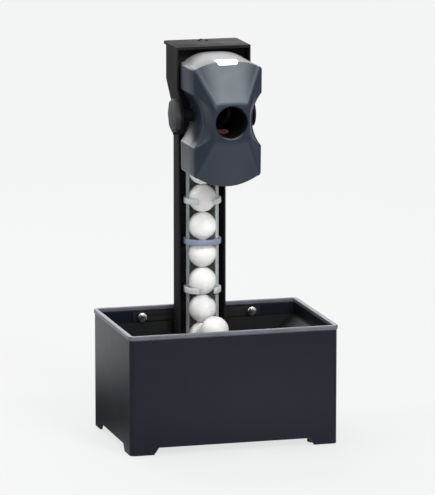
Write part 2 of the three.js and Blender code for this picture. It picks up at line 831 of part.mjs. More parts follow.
for (const [name, side] of [['left', thumbBoltSides[0]], ['right', thumbBoltSides[1]]]) {
  const head = bar('y', thumbBoltHeadRadius, bracketFront - thumbBoltHeadLength, bracketFront,
    [side, thumbBoltHeight], smallSteps);
  const shank = bar('y', thumbBoltShankRadius, bracketFront - thumbBoltHeadLength / 2, wallOuterBack,
    [side, thumbBoltHeight], smallSteps);
  add(`thumb_bolt_${name}`, joined(head, shank), 0xd0d2d4, brightSteel);
}

// Mast: a channel that opens to the front

const mastHalf = mastWidth / 2;
const mastSection = new THREE.Shape();
mastSection.moveTo(-mastHalf, mastFront);
mastSection.lineTo(-mastHalf + mastWall, mastFront);
mastSection.lineTo(-mastHalf + mastWall, mastWebFront);
mastSection.lineTo(mastHalf - mastWall, mastWebFront);
mastSection.lineTo(mastHalf - mastWall, mastFront);
mastSection.lineTo(mastHalf, mastFront);
mastSection.lineTo(mastHalf, mastBack - mastCornerRadius);
mastSection.absarc(mastHalf - mastCornerRadius, mastBack - mastCornerRadius, mastCornerRadius,
  0, Math.PI / 2);
mastSection.absarc(-mastHalf + mastCornerRadius, mastBack - mastCornerRadius, mastCornerRadius,
  Math.PI / 2, Math.PI);
add('mast_channel', cut(floorPlate(mastSection, mastBottom, mastTop), ...mastBoltHoles), mastColour,
  paintedSteel);

mastBoltHeights.forEach((height, i) => {
  const head = bar('y', mastBoltHeadRadius, mastWebFront - mastBoltHeadLength, mastWebFront, [0, height],
    boltSides);
  const shank = bar('y', mastBoltShankRadius, mastWebFront - mastBoltHeadLength / 2, bracketBack,
    [0, height], smallSteps);
  add(`mast_bolt_${i + 1}`, joined(head, shank), 0xa8a9ab, brightSteel);
});

// Clear feed tube with its foot and clips

add('ball_tube', turned([
  [tubeInnerRadius, tubeBottom], [tubeOuterRadius, tubeBottom],
  [tubeOuterRadius, tubeTop], [tubeInnerRadius, tubeTop], [tubeInnerRadius, tubeBottom],
]).translate(0, columnBack, 0), 0xdfe6ea, { roughness: 0.05, transparent: true, opacity: 0.3 });

// A ring round the tube on a block that reaches back to the mast's web
function tubeHolder(outer, bottom, top) {
  const ring = bar('z', outer, bottom, top, [0, columnBack]);
  const arm = block(-clipFootWidth / 2, clipFootWidth / 2, columnBack + clipInner / 2,
    mastWebFront, bottom, top);
  const bore = bar('z', clipInner, bottom - overrun, top + overrun, [0, columnBack]);
  return cut(joined(ring, arm), bore);
}

add('tube_foot', tubeHolder(clipInner + tubeFootWall, mastBottom, tubeFootTop), trayColour, satinPlastic);

clipShares.forEach((share, i) => {
  const height = THREE.MathUtils.lerp(tubeBottom, tubeTop, share);
  const low = height - clipHeight / 2;
  const high = height + clipHeight / 2;
  let clip = tubeHolder(clipOuter, low, high);
  const closed = i === collarIndex;
  if (!closed) {
    clip = cut(clip, block(-clipMouth / 2, clipMouth / 2, columnBack - clipOuter - overrun, columnBack,
      low - overrun, high + overrun));
  }
  add(`tube_clip_${i + 1}`, clip, closed ? 0x6d7688 : 0xc8cacc, satinPlastic);
});

// Mast head: a block across the channel with the swing bearing

const panBore = bar('z', panShaftRadius + runGap, gearBottom, yokeTop, [0, columnBack], smallSteps);
const bearingHalf = mastHalf - mastWall - seatGap;
const bearingBottom = mastTop - bearingThickness;
const bearingSection = new THREE.Shape();
bearingSection.moveTo(bearingHalf, mastWebFront - bearingDepth);
bearingSection.lineTo(bearingHalf, mastWebFront);
bearingSection.lineTo(-bearingHalf, mastWebFront);
bearingSection.lineTo(-bearingHalf, mastWebFront - bearingDepth);
bearingSection.lineTo(-bearingNoseRadius, columnBack);
bearingSection.absarc(0, columnBack, bearingNoseRadius, Math.PI, 2 * Math.PI);
const bearingBoss = bar('z', bearingBossRadius, bearingBottom, bearingTop, [0, columnBack]);
add('mast_head', cut(joined(floorPlate(bearingSection, bearingBottom, mastTop, bossSteps), bearingBoss),
  panBore), trayColour, satinPlastic);

// Swing drive: involute gears, the large one cut on the yoke's shaft

function gearShape(teeth) {
  const pitchRadius = gearModule * teeth / 2;
  const baseRadius = pitchRadius * Math.cos(THREE.MathUtils.degToRad(pressureAngle));
  const involute = (radius) => {
    const along = Math.acos(baseRadius / radius);
    return Math.tan(along) - along;
  };
  const halfTooth = Math.PI / (2 * teeth) - gearBacklash / (2 * pitchRadius) + involute(pitchRadius);
  const flank = [[pitchRadius - gearDedendumShare * gearModule, halfTooth]];
  for (const radius of [pitchRadius, pitchRadius + gearAddendumShare * gearModule]) {
    flank.push([radius, halfTooth - involute(radius)]);
  }
  const points = [];
  for (let tooth = 0; tooth < teeth; tooth++) {
    const middle = 2 * Math.PI * tooth / teeth;
    const rising = flank.map(([radius, off]) => [radius, middle - off]);
    const falling = flank.map(([radius, off]) => [radius, middle + off]).reverse();
    for (const [radius, angle] of [...rising, ...falling]) {
      points.push([radius * Math.cos(angle), radius * Math.sin(angle)]);
    }
  }
  return polygon(points);
}

const gearDistance = gearModule * (panGearTeeth + pinionTeeth) / 2 + gearSpread;
const pinionAngle = THREE.MathUtils.degToRad(pinionBearing);
const pinionPlace = [
  gearDistance * Math.cos(pinionAngle), columnBack + gearDistance * Math.sin(pinionAngle),
];

const gearPlate = floorPlate(gearShape(panGearTeeth), gearBottom, gearTop).rotateZ(pinionAngle)
  .translate(0, columnBack, 0);
const panTop = yokeTopUnderside - seatGap;
const panShaft = bar('z', panShaftRadius, gearBottom, panTop, [0, columnBack], smallSteps);
const panFlange = bar('z', panFlangeRadius, panTop - panFlangeThickness, panTop, [0, columnBack]);
add('pan_gear_shaft', joined(gearPlate, panShaft, panFlange), 0xb9bbbd, brightSteel);

// A gap of the pinion faces the gear's tooth
const pinionTurn = pinionAngle + Math.PI + Math.PI / pinionTeeth;
const panMotorTop = gearBottom - seatGap - motorPlateThickness - seatGap;
const pinionPlate = floorPlate(gearShape(pinionTeeth), gearBottom, gearTop).rotateZ(pinionTurn);
const pinionShaft = bar('z', pinionShaftRadius, panMotorTop - pinionBoreDepth, gearTop, [0, 0], smallSteps);
const pinion = add('pan_pinion', joined(pinionPlate, pinionShaft), 0xe6e2d6, satinPlastic);
pinion.position.set(pinionPlace[0], pinionPlace[1], 0);

const panMotorCan = bar('z', panMotorRadius, panMotorTop - panMotorLength, panMotorTop, pinionPlace);
const panMotorNeck = bar('z', panMotorNeckRadius, panMotorTop - overrun, panMotorTop + motorPlateThickness,
  pinionPlace, smallSteps);
const panMotorBore = bar('z', pinionShaftRadius + seatGap, panMotorTop - pinionBoreDepth - seatGap,
  gearTop, pinionPlace, smallSteps);
add('pan_motor', cut(joined(panMotorCan, panMotorNeck), panMotorBore), 0xa8a9ab, brightSteel);

// Motor plate: lies on the motor and turns down along the mast's web
const motorPlateLeft = pinionPlace[0] - motorPlateWidth / 2;
const motorPlateRight = pinionPlace[0] + motorPlateWidth / 2;
const motorPlate = block(motorPlateLeft, motorPlateRight, pinionPlace[1] - panMotorRadius,
  mastWebFront, panMotorTop, panMotorTop + motorPlateThickness);
const motorPlateLeg = block(motorPlateLeft, motorPlateRight, mastWebFront - motorPlateThickness,
  mastWebFront, panMotorTop - motorPlateDrop, panMotorTop + motorPlateThickness);
const motorNeckHole = bar('z', panMotorNeckRadius + seatGap, panMotorTop - overrun, gearTop, pinionPlace,
  smallSteps);
add('pan_motor_plate', cut(joined(motorPlate, motorPlateLeg), motorNeckHole), mastColour, paintedSteel);

// Yoke: two cheeks, a top plate and a cross plate that carries the elbow

const cheekBack = yokeTopBack - cheekInset;
const cheekOutline = new THREE.Shape();
cheekOutline.moveTo(cheekBack, yokeTop);
cheekOutline.lineTo(yokeTopFront, yokeTop);
cheekOutline.lineTo(yokeTopFront, throwHeight + cheekShoulderRise);
cheekOutline.absarc(tiltBack, throwHeight, cheekBossRadius,
  THREE.MathUtils.degToRad(cheekBossFrontAngle), THREE.MathUtils.degToRad(cheekBossBackAngle));
cheekOutline.lineTo(cheekBack, throwHeight + cheekBackRise);
const trunnionHole = bar('x', trunnionRadius + runGap, -cheekOuter - overrun, cheekOuter + overrun,
  [tiltBack, throwHeight]);
const yokeTopPlate = floorPlate(roundedRectangle(-cheekOuter, cheekOuter, yokeTopFront, yokeTopBack,
  yokeCornerRadius), yokeTopUnderside, yokeTop);
const crossPlateBack = columnBack - elbowBend;
const crossPlateFront = crossPlateBack - crossPlateThickness;
const crossPlate = block(-cheekInner - yokeWall / 2, cheekInner + yokeWall / 2, crossPlateFront,
  crossPlateBack, throwHeight - crossPlateDrop, yokeTop - yokeTopThickness / 2);
const elbowHole = bar('y', elbowRadius + seatGap, crossPlateFront - overrun, crossPlateBack + overrun,
  [0, throwHeight]);
add('yoke_frame', cut(joined(
  cheekPlate(cheekOutline, -cheekOuter, -cheekInner, bossSteps),
  cheekPlate(cheekOutline, cheekInner, cheekOuter, bossSteps), yokeTopPlate, crossPlate,
), trunnionHole, elbowHole), mastColour, paintedSteel);

// Elbow: turns the balls from the tube to the head. Its sleeve turns round the tube's top.

function elbowRun(radius, start, end) {
  const bendCentre = [crossPlateBack, throwHeight - elbowBend];
  const path = [[columnBack, start, 0]];
  for (let i = 0; i <= bendSteps; i++) {
    const angle = Math.PI / 2 * i / bendSteps;
    const back = bendCentre[0] + elbowBend * Math.cos(angle);
    path.push([back, bendCentre[1] + elbowBend * Math.sin(angle), angle]);
  }
  path.push([end, throwHeight, Math.PI / 2]);
  const rings = path.map(([y, z, angle]) => {
    const ring = [];
    for (let i = 0; i < roundSteps; i++) {
      const turn = 2 * Math.PI * i / roundSteps;
      const out = radius * Math.cos(turn);
      const side = radius * Math.sin(turn);
      ring.push(new THREE.Vector3(side, y + out * Math.cos(angle), z + out * Math.sin(angle)));
    }
    return ring;
  });
  return loft(rings);
}
const elbowShoulder = tubeTop + seatGap;
const elbowSleeve = bar('z', tubeOuterRadius + runGap + elbowSleeveWall, tubeTop - elbowSleeveLength,
  elbowShoulder + elbowSleeveWall, [0, columnBack]);
const elbowSleeveBore = bar('z', tubeOuterRadius + runGap, tubeTop - elbowSleeveLength - overrun,
  elbowShoulder, [0, columnBack]);
const elbowOutlet = barrelRear + elbowHeadGap;
const elbowFlangeFront = crossPlateBack + seatGap;
const elbowFlange = bar('y', elbowRadius + elbowFlangeWidth, elbowFlangeFront,
  elbowFlangeFront + elbowFlangeThickness, [0, throwHeight]);
add('ball_elbow', cut(
  joined(elbowRun(elbowRadius, elbowShoulder, elbowOutlet), elbowSleeve, elbowFlange),
  elbowRun(elbowBore, elbowShoulder - overrun, elbowOutlet - overrun), elbowSleeveBore,
), trayColour, satinPlastic);

// Head shells: every ring runs right side, top, left side, bottom, with rounded corners between

function hourglassHalf(height) {
  const share = (headShoulderHeight - height) / (headShoulderHeight - headChinHeight);
  const plain = headHalfWidth - headNarrowing * THREE.MathUtils.clamp(share, 0, 1);
  const off = height - throwHeight;
  if (Math.abs(off) >= waistHalfHeight) return plain;
  return plain - (Math.sqrt(waistRadius ** 2 - off ** 2) - (waistRadius - waistDepth));
}

// Heights along a side: its ends, and the arc of the waist between them
function sideHeights(low, high) {
  const heights = [low];
  for (let i = 0; i <= waistSteps; i++) {
    heights.push(throwHeight + waistHalfHeight * (2 * i / waistSteps - 1));
  }
  return [...heights, high];
}

// The outline at one depth, drawn in by an inset
function headRing(depth, inset) {
  const riseShare = THREE.MathUtils.clamp((depth - headFront) / (tiltBack - headFront), 0, 1);
  const top = headShoulderHeight - inset;
  const crown = THREE.MathUtils.lerp(headCrown, headTopRise, riseShare);
  const low = headChinHeight + inset;
  const radius = Math.max(headCornerRadius - inset / 2, rimRound);
  const half = (height) => hourglassHalf(height) - inset;
  const ring = [];
  const put = (x, z) => ring.push(new THREE.Vector3(x, depth, z));
  const corner = (cx, cz, start) => {
    for (let i = 1; i < cornerSteps; i++) {
      const angle = start + Math.PI / 2 * i / cornerSteps;
      put(cx + radius * Math.cos(angle), cz + radius * Math.sin(angle));
    }
  };
  const sideLow = low + radius;
  const sideHigh = top - radius;
  const highHalf = half(sideHigh);
  const lowHalf = half(sideLow);
  const heights = sideHeights(sideLow, sideHigh);
  for (const z of heights) put(half(z), z);
  corner(highHalf - radius, sideHigh, 0);
  for (let i = 0; i <= crownSteps; i++) {
    const across = 1 - 2 * i / crownSteps;
    put(across * (highHalf - radius), top + crown * (1 - Math.abs(across) ** crownPower));
  }
  corner(-highHalf + radius, sideHigh, Math.PI / 2);
  for (const z of heights.reverse()) put(-half(z), z);
  corner(-lowHalf + radius, sideLow, Math.PI);
  for (let i = 0; i <= capSteps; i++) {
    const across = 2 * i / capSteps - 1;
    put(across * (lowHalf - radius), low - headChinArch * (1 - across ** 2));
  }
  corner(lowHalf - radius, sideLow, 1.5 * Math.PI);
  return ring;
}

// A rounded square or a circle with the same count and order of points
function noseRing(depth, halfSize, radius) {
  const straight = halfSize - radius;
  const ring = [];
  const put = (x, z) => ring.push(new THREE.Vector3(x, depth, throwHeight + z));
  const corner = (cx, cz, start) => {
    for (let i = 1; i < cornerSteps; i++) {
      const angle = start + Math.PI / 2 * i / cornerSteps;
      put(cx + radius * Math.cos(angle), cz + radius * Math.sin(angle));
    }
  };
  const sideSteps = waistSteps + 2;
  for (let i = 0; i <= sideSteps; i++) put(halfSize, straight * (2 * i / sideSteps - 1));
  corner(straight, straight, 0);
  for (let i = 0; i <= crownSteps; i++) put(straight * (1 - 2 * i / crownSteps), halfSize);
  corner(-straight, straight, Math.PI / 2);
  for (let i = 0; i <= sideSteps; i++) put(-halfSize, straight * (1 - 2 * i / sideSteps));
  corner(-straight, -straight, Math.PI);
  for (let i = 0; i <= capSteps; i++) put(straight * (2 * i / capSteps - 1), -halfSize);
  corner(straight, -straight, 1.5 * Math.PI);
  return ring;
}

function boreRing(depth, radius) {
  return noseRing(depth, noseHalfSize, noseCornerRadius).map((point) => {
    const angle = Math.atan2(point.z - throwHeight, point.x);
    return new THREE.Vector3(radius * Math.cos(angle), depth, throwHeight + radius * Math.sin(angle));
  });
}

const nozzleRadius = ballRadius + nozzleBallGap;
const noseHalfSize = nozzleRadius + noseLip;
const noseFront = headFront - noseLength;
const noseSeat = noseFront + noseSeatDepth;
const shellSplit = tiltBack;
const noseOuterRings = [
  headRing(shellSplit, 0),
  headRing((shellSplit + headFront) / 2, 0),
  headRing(headFront + frontRound, 0),
  headRing(headFront, frontRound),
  noseRing(noseFront, noseHalfSize, noseCornerRadius),
];
const trunnionClearance = bar('x', trunnionRadius + runGap, -cheekInner, cheekInner,
  [tiltBack, throwHeight]);
const lensTop = headShoulderHeight + headCrown + lensRise;
const lensFrame = (gap) => wallPlate(polygon([
  [-lensTopWidth / 2 - 2 * gap, lensTop + gap],
  [-lensBottomWidth / 2 - 2 * gap, lensTop - lensHeight - gap],
  [lensBottomWidth / 2 + 2 * gap, lensTop - lensHeight - gap],
  [lensTopWidth / 2 + 2 * gap, lensTop + gap],
]), headFront - overrun, headFront + lensDepth + gap);
const frontSkin = loft([
  ...noseOuterRings,
  boreRing(noseFront, nozzleRadius),
  boreRing(noseSeat, nozzleRadius),
  boreRing(noseSeat, barrelRadius + noseSeatGap),
  headRing(headFront + headWall, headWall + frontRound),
  headRing(headFront + headWall + frontRound, headWall),
  headRing((shellSplit + headFront) / 2, headWall),
  headRing(shellSplit, headWall),
], true);
add('head_front_shell', cut(frontSkin, trunnionClearance, lensFrame(seatGap)), headColour, satinPlastic);
add('status_lens', common(loft(noseOuterRings), lensFrame(0)), 0xf4f6f8, glossPlastic);

const barrelFlareRadius = barrelRadius + barrelFlareWidth;
const rearInletRadius = barrelFlareRadius + rearInletGap;
const rearSplit = shellSplit + seatGap;
const rearSkin = loft([
  headRing(rearSplit, 0),
  headRing(headRear - rearRound, 0),
  headRing(headRear - rearRound / 3, rearRound / 3),
  headRing(headRear, rearRound),
  boreRing(headRear, rearInletRadius),
  boreRing(headRear - headWall, rearInletRadius),
  headRing(headRear - headWall, rearRound + headWall / 2),
  headRing(headRear - headWall - rearRound / 3, rearRound / 3 + headWall),
  headRing(rearSplit, headWall),
], true);
add('head_rear_shell', cut(rearSkin, trunnionClearance), headColour, satinPlastic);

// Head chassis: the barrel, a trunnion on each side and a tab for each motor

const barrelFront = noseSeat + seatGap;
const barrel = bar('y', barrelRadius, barrelFront, barrelRear, [0, throwHeight]);
const barrelFlare = turned([
  [0, barrelRear - barrelFlareLength], [barrelRadius, barrelRear - barrelFlareLength],
  [barrelFlareRadius, barrelRear], [0, barrelRear],
]).rotateX(-Math.PI / 2).translate(0, 0, throwHeight);
const barrelInside = bar('y', barrelBore, barrelFront - overrun, barrelRear + overrun, [0, throwHeight]);
const flareInside = turned([
  [0, barrelRear - barrelFlareLength], [barrelBore, barrelRear - barrelFlareLength],
  [barrelFlareRadius - (barrelRadius - barrelBore), barrelRear + seatGap], [0, barrelRear + seatGap],
]).rotateX(-Math.PI / 2).translate(0, 0, throwHeight);
const trunnionEnd = cheekOuter + trunnionReach;
const trunnions = bar('x', trunnionRadius, -trunnionEnd, trunnionEnd, [tiltBack, throwHeight]);
const trunnionBores = [-1, 1].map((side) => bar('x', trunnionBore,
  side > 0 ? trunnionEnd - trunnionBoreDepth : -trunnionEnd - overrun,
  side > 0 ? trunnionEnd + overrun : -trunnionEnd + trunnionBoreDepth, [tiltBack, throwHeight], smallSteps));

const wheelClear = wheelWidth / 2 + wheelGap;
const wheelWindows = [upperWheelHeight, lowerWheelHeight].map((height) => bar('x', wheelRadius + wheelGap,
  -wheelClear, wheelClear, [wheelBack, height]));
const tabFace = wheelClear + motorTabThickness;
const tabTop = upperWheelHeight + headMotorRadius;
const tabLow = lowerWheelHeight - headMotorRadius;
const upperTab = block(wheelClear, tabFace, wheelBack - motorTabDepth / 2, wheelBack + motorTabDepth / 2,
  throwHeight + barrelBore / 2, tabTop);
const lowerTab = block(-tabFace, -wheelClear, wheelBack - motorTabDepth / 2, wheelBack + motorTabDepth / 2,
  tabLow, throwHeight - barrelBore / 2);
const upperShaftHole = bar('x', wheelShaftRadius + runGap, 0, headHalfWidth, [wheelBack, upperWheelHeight],
  smallSteps);
const lowerShaftHole = bar('x', wheelShaftRadius + runGap, -headHalfWidth, 0, [wheelBack, lowerWheelHeight],
  smallSteps);
add('head_chassis', cut(joined(barrel, barrelFlare, trunnions, upperTab, lowerTab),
  barrelInside, flareInside, ...trunnionBores, ...wheelWindows, upperShaftHole, lowerShaftHole),
trayColour, satinPlastic);

// Throwing wheels: a hub with a stub shaft, and a soft tyre

const hubRadius = wheelRadius - tyreThickness;
const tyreProfile = [
  [hubRadius, -wheelWidth / 2], [wheelRadius - tyreCrown, -wheelWidth / 2],
  [wheelRadius, -wheelWidth / 4], [wheelRadius, wheelWidth / 4],
  [wheelRadius - tyreCrown, wheelWidth / 2], [hubRadius, wheelWidth / 2], [hubRadius, -wheelWidth / 2],
];
const rimInner = hubRadius - hubRimThickness;
const hubProfile = [
  [0, -wheelWidth / 2], [hubBossRadius, -wheelWidth / 2], [hubBossRadius, -hubWebWidth / 2],
  [rimInner, -hubWebWidth / 2], [rimInner, -wheelWidth / 2], [hubRadius, -wheelWidth / 2],
  [hubRadius, wheelWidth / 2], [rimInner, wheelWidth / 2], [rimInner, hubWebWidth / 2],
  [hubBossRadius, hubWebWidth / 2], [hubBossRadius, wheelWidth / 2], [0, wheelWidth / 2],
];
const headMotorEnd = headHalfWidth - headWall - headMotorGap;
for (const [name, height, side] of [['upper', upperWheelHeight, 1], ['lower', lowerWheelHeight, -1]]) {
  const shaftEnds = [0, side * (tabFace + wheelShaftReach)].sort((a, b) => a - b);
  const shaft = bar('x', wheelShaftRadius, shaftEnds[0], shaftEnds[1], [0, 0], smallSteps);
  const hub = add(`${name}_wheel_hub`, joined(turned(hubProfile, wheelSteps).rotateY(Math.PI / 2), shaft),
    0x2b2b2e, satinPlastic);
  const tyre = add(`${name}_wheel_tyre`, turned(tyreProfile, wheelSteps).rotateY(Math.PI / 2), 0x8d1f1c,
    { roughness: 0.8 });
  for (const piece of [hub, tyre]) piece.position.set(0, wheelBack, height);

  const ends = [side * tabFace, side * headMotorEnd].sort((a, b) => a - b);
  const can = bar('x', headMotorRadius, ends[0], ends[1], [wheelBack, height]);
  const boreEnds = [0, side * (tabFace + wheelShaftReach + seatGap)].sort((a, b) => a - b);
  const bore = bar('x', wheelShaftRadius + runGap, boreEnds[0], boreEnds[1], [wheelBack, height],
    smallSteps);
  add(`${name}_wheel_motor`, cut(can, bore), 0xa8a9ab, brightSteel);
}

// Tilt knob outside the left cheek, and a pivot screw outside the right one.
// Each has a stud in its trunnion's bore.

const lobeShape = polygon(Array.from({ length: roundSteps * 2 }, (unused, i) => {
  const angle = Math.PI * i / roundSteps;
  const radius = knobRadius - knobLobeDepth * (1 - Math.cos(knobLobes * angle)) / 2;
  return [radius * Math.cos(angle), radius * Math.sin(angle)];
}));
const studReach = trunnionReach + trunnionBoreDepth / 2;
const trunnionStud = bar('x', trunnionBore - seatGap, -studReach, pivotHeadThickness / 2, [0, 0],
  smallSteps);
const knob = add('tilt_knob', joined(cheekPlate(lobeShape, 0, knobThickness), trunnionStud), 0x4a4a4d,
  satinPlastic);
knob.rotation.z = Math.PI;
knob.position.set(-trunnionEnd - seatGap, tiltBack, throwHeight);

const pivotHead = bar('x', pivotHeadRadius, 0, pivotHeadThickness, [0, 0]);
const pivotSocket = bar('x', pivotSocketRadius, pivotHeadThickness / 2, pivotHeadThickness + overrun,
  [0, 0], boltSides);
const pivotScrew = add('pivot_screw', cut(joined(pivotHead, trunnionStud), pivotSocket), 0xa8a9ab,
  brightSteel);
pivotScrew.position.set(trunnionEnd + seatGap, tiltBack, throwHeight);

// Balls: a stack in the tube, and one that lies on the hub dome and leans on the tube

const ballFinish = { roughness: 0.4 };
const ballPitch = 2 * ballRadius + ballGap;
const lowestBallHeight = discTop + runGap + ballRadius;
const ballCount = Math.floor((tubeTop - lowestBallHeight) / ballPitch) + 1;
const ballShape = toGeometry(toSolid(
  new THREE.SphereGeometry(ballRadius, ballSteps, ballSteps / 2).rotateX(Math.PI / 2),
));
for (let i = 0; i < ballCount; i++) {
  const ball = add(`ball_${i + 1}`, ballShape.clone(), 0xf2f2ee, ballFinish);
  ball.position.set(0, columnBack, lowestBallHeight + i * ballPitch);
}
const looseReach = tubeOuterRadius + ballRadius + seatGap;
const looseBack = columnBack - Math.sqrt(looseReach ** 2 - looseBallShift ** 2);
const looseOff = Math.hypot(looseBallShift, looseBack - wellCentreBack);
const looseLift = Math.sqrt((hubDomeRadius + ballRadius + seatGap) ** 2 - looseOff ** 2);
const looseBall = add('loose_ball', ballShape.clone(), 0xf2f2ee, ballFinish);
looseBall.position.set(looseBallShift, looseBack, domeCentre + looseLift);

export default scene;
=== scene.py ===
"""Table tennis robot: finishes, clear tube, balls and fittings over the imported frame."""
import json
import math

import bmesh
import bpy
from mathutils import Matrix, Vector


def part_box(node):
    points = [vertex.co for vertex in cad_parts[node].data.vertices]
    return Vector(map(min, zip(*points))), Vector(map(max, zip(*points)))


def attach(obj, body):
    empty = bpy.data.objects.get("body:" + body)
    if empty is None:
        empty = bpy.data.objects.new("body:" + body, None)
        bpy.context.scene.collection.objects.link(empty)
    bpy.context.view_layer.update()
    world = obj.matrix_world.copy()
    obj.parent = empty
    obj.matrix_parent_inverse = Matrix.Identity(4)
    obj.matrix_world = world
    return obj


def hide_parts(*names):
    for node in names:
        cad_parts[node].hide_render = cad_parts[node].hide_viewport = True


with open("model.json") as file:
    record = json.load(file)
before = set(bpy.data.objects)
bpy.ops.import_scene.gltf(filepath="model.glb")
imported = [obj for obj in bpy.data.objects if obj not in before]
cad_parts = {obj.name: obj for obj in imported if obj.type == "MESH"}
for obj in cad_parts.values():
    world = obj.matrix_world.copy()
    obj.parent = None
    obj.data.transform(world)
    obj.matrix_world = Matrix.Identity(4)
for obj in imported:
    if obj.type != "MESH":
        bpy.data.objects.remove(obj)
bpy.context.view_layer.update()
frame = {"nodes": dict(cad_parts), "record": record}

bodies = frame["record"]["behaviour"]["bodies"]
body_of = {node: body for body, nodes in bodies.items() for node in nodes}
slot_of = {part["node"]: part["material_slot"] for part in frame["record"]["subparts"]}
joint_at = {joint["name"]: joint.get("pos_m") for joint in frame["record"]["behaviour"]["joints"]}


def span(node, axis):
    """Where the node's solid begins and ends along X, Y or Z, to the nearest micrometre"""
    return [round(corner["XYZ".index(axis)], 6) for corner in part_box(node)]


def start_of(node, axis):
    return span(node, axis)[0]


def end_of(node, axis):
    return span(node, axis)[1]


def middle_of(node, axis):
    return sum(span(node, axis)) / 2


# Axes, balls, tube and mast, in metres, as every size here
WELL_BACK = joint_at["feed_spin"][1]
COLUMN_BACK = joint_at["head_swing"][1]
TILT_BACK, THROW_HEIGHT = joint_at["head_tilt"][1:]
BALL_COUNT = len(bodies["ball_stack"])
BALL_RADIUS = end_of("ball_1", "Z") - middle_of("ball_1", "Z")
LOWEST_BALL = middle_of("ball_1", "Z")
BALL_PITCH = middle_of("ball_2", "Z") - LOWEST_BALL
TUBE_INNER = 0.0212
TUBE_OUTER = end_of("ball_tube", "X")
TUBE_BOTTOM, TUBE_TOP = span("ball_tube", "Z")
TUBE_LIP = 0.0006
MAST_BACK = end_of("mast_channel", "Y")
SEAT_GAP = 0.0003

# The bin, with its rolled rim, its inner ledges and the arches in its skirt
BIN_HALF_WIDTH = end_of("bin_shell", "X")
BIN_HALF_DEPTH = end_of("bin_shell", "Y")
SKIRT_LOW, BIN_HEIGHT = span("bin_shell", "Z")
BIN_CORNER = 0.009
BIN_WALL = 0.0035
RIM_OVERHANG = 0.0015
RIM_UNDERSIDE = 0.1655
RIM_ROUND = 0.0016
# Over how much height the rim's pale band fades in: rubbing, and a painted highlight
RIM_RUB_AND_HIGHLIGHT = 0.0012
ARCH_TOP = 0.011
ARCH_FOOT = 0.036
ARCH_SLANT = 0.007
BASE_LEDGE = 0.016
BASE_LEDGE_THICKNESS = 0.003
BASE_LEDGE_REACH = 0.006
TRAY_LEDGE_REACH = 0.0035
TRAY_LEDGE_THICKNESS = 0.0025
PLATE_UNDERSIDE = start_of("base_plate", "Z")
INLET_SIDE = middle_of("power_inlet", "X")
SWITCH_SIDE = middle_of("switch_housing", "X")
SOCKET_HEIGHT = middle_of("power_inlet", "Z")
INLET_HOLE, SWITCH_HALF_WIDTH, SWITCH_HALF_HEIGHT = 0.0073, 0.0078, 0.0108
THUMB_BOLT_SIDE = middle_of("thumb_bolt_right", "X")
THUMB_BOLT_HEIGHT = middle_of("thumb_bolt_right", "Z")
THUMB_BOLT_HOLE = 0.0033

# The hopper tray, the well in it and the disc that turns in the well
TRAY_SIDE = end_of("hopper_tray", "X")
TRAY_END = end_of("hopper_tray", "Y")
TRAY_RIM = end_of("hopper_tray", "Z")
TRAY_THICKNESS = 0.0025
TRAY_LEDGE = TRAY_RIM - TRAY_THICKNESS
TRAY_BRIM, TRAY_SEAT, TRAY_CORNER = 0.006, 0.0035, 0.009
WELL_RADIUS = 0.077
WELL_EDGE = end_of("feed_well", "Z")
WELL_FLOOR = start_of("feed_well", "Z") + TRAY_THICKNESS
WELL_FLANGE = end_of("feed_well", "X")
WELL_ROUND, WELL_ROUND_MIDDLE = 0.004, 0.0012
REBATE_RADIUS = WELL_FLANGE + SEAT_GAP
LIP_RADIUS = WELL_RADIUS + TRAY_THICKNESS + SEAT_GAP
LIP_TOP = WELL_EDGE - TRAY_THICKNESS - SEAT_GAP
SHAFT_HOLE = 0.0068
MAST_CLEAR = 0.0004
MAST_NOTCH_HALF = end_of("mast_channel", "X") + MAST_CLEAR
MAST_NOTCH_LOW = start_of("mast_channel", "Z") - SEAT_GAP
DISC_RADIUS = end_of("feed_disc", "Y") - WELL_BACK
DISC_TOP, DISC_THICKNESS = 0.1108, 0.010
DISC_UNDERSIDE = DISC_TOP - DISC_THICKNESS
POCKET_CIRCLE = COLUMN_BACK - WELL_BACK
POCKET_RADIUS = 0.0218
POCKET_COUNT = 6
DOME_RADIUS = 0.030
FEED_SHAFT_LOW, DOME_TOP = span("feed_disc", "Z")
DOME_MIDDLE = DOME_TOP - DOME_RADIUS
FEED_SHAFT = 0.003

# The throwing head: its outline, its split and the nose in front of it
HEAD_HALF = 0.050
HEAD_NARROWING = 0.0015
CHIN_ARCH = 0.013
CROWN_FRONT, CROWN_REAR = 0.008, 0.013
HEAD_CHIN = start_of("head_rear_shell", "Z") + CHIN_ARCH
HEAD_SHOULDER = end_of("head_rear_shell", "Z") - CROWN_REAR
HEAD_CORNER, HEAD_CORNER_LEAST = 0.005, 0.0016
WAIST_HALF = 0.0375
WAIST_DEPTH = 0.0135
HEAD_FRONT = -0.068
HEAD_REAR = end_of("head_rear_shell", "Y")
HEAD_WALL = 0.0025
FRONT_ROUND, FRONT_ROUND_MIDDLE = 0.002, 0.0006
REAR_ROUND, REAR_ROUND_WALL = 0.006, 0.002
NOSE_FRONT = start_of("head_front_shell", "Y")
NOSE_SEAT = -0.084
NOSE_HALF = 0.0258
NOSE_CORNER = 0.0055
NOZZLE_RADIUS = 0.023
NOZZLE_CHAMFER = 0.001
BARREL_SEAT = 0.0252
REAR_INLET = 0.031
INLET_CHAMFER = 0.0008
TRUNNION_HOLE = 0.0094
LENS_TOP_HALF = 0.021
LENS_BOTTOM_HALF = 0.0125
LENS_TOP = 0.554
LENS_LOW = start_of("status_lens", "Z")
LENS_BACK = end_of("status_lens", "Y")

# How far the cutting shapes reach, well past what they cut
CUT_CLEAR = 0.004
BOLT_CUT_FRONT = 0.09
TRAY_CUT_LOW, TRAY_CUT_TOP, NOTCH_CUT_BACK = 0.08, 0.2, 0.12
POCKET_CUT = (0.09, 0.125)
TRUNNION_CUT = (-0.06, 0.06)

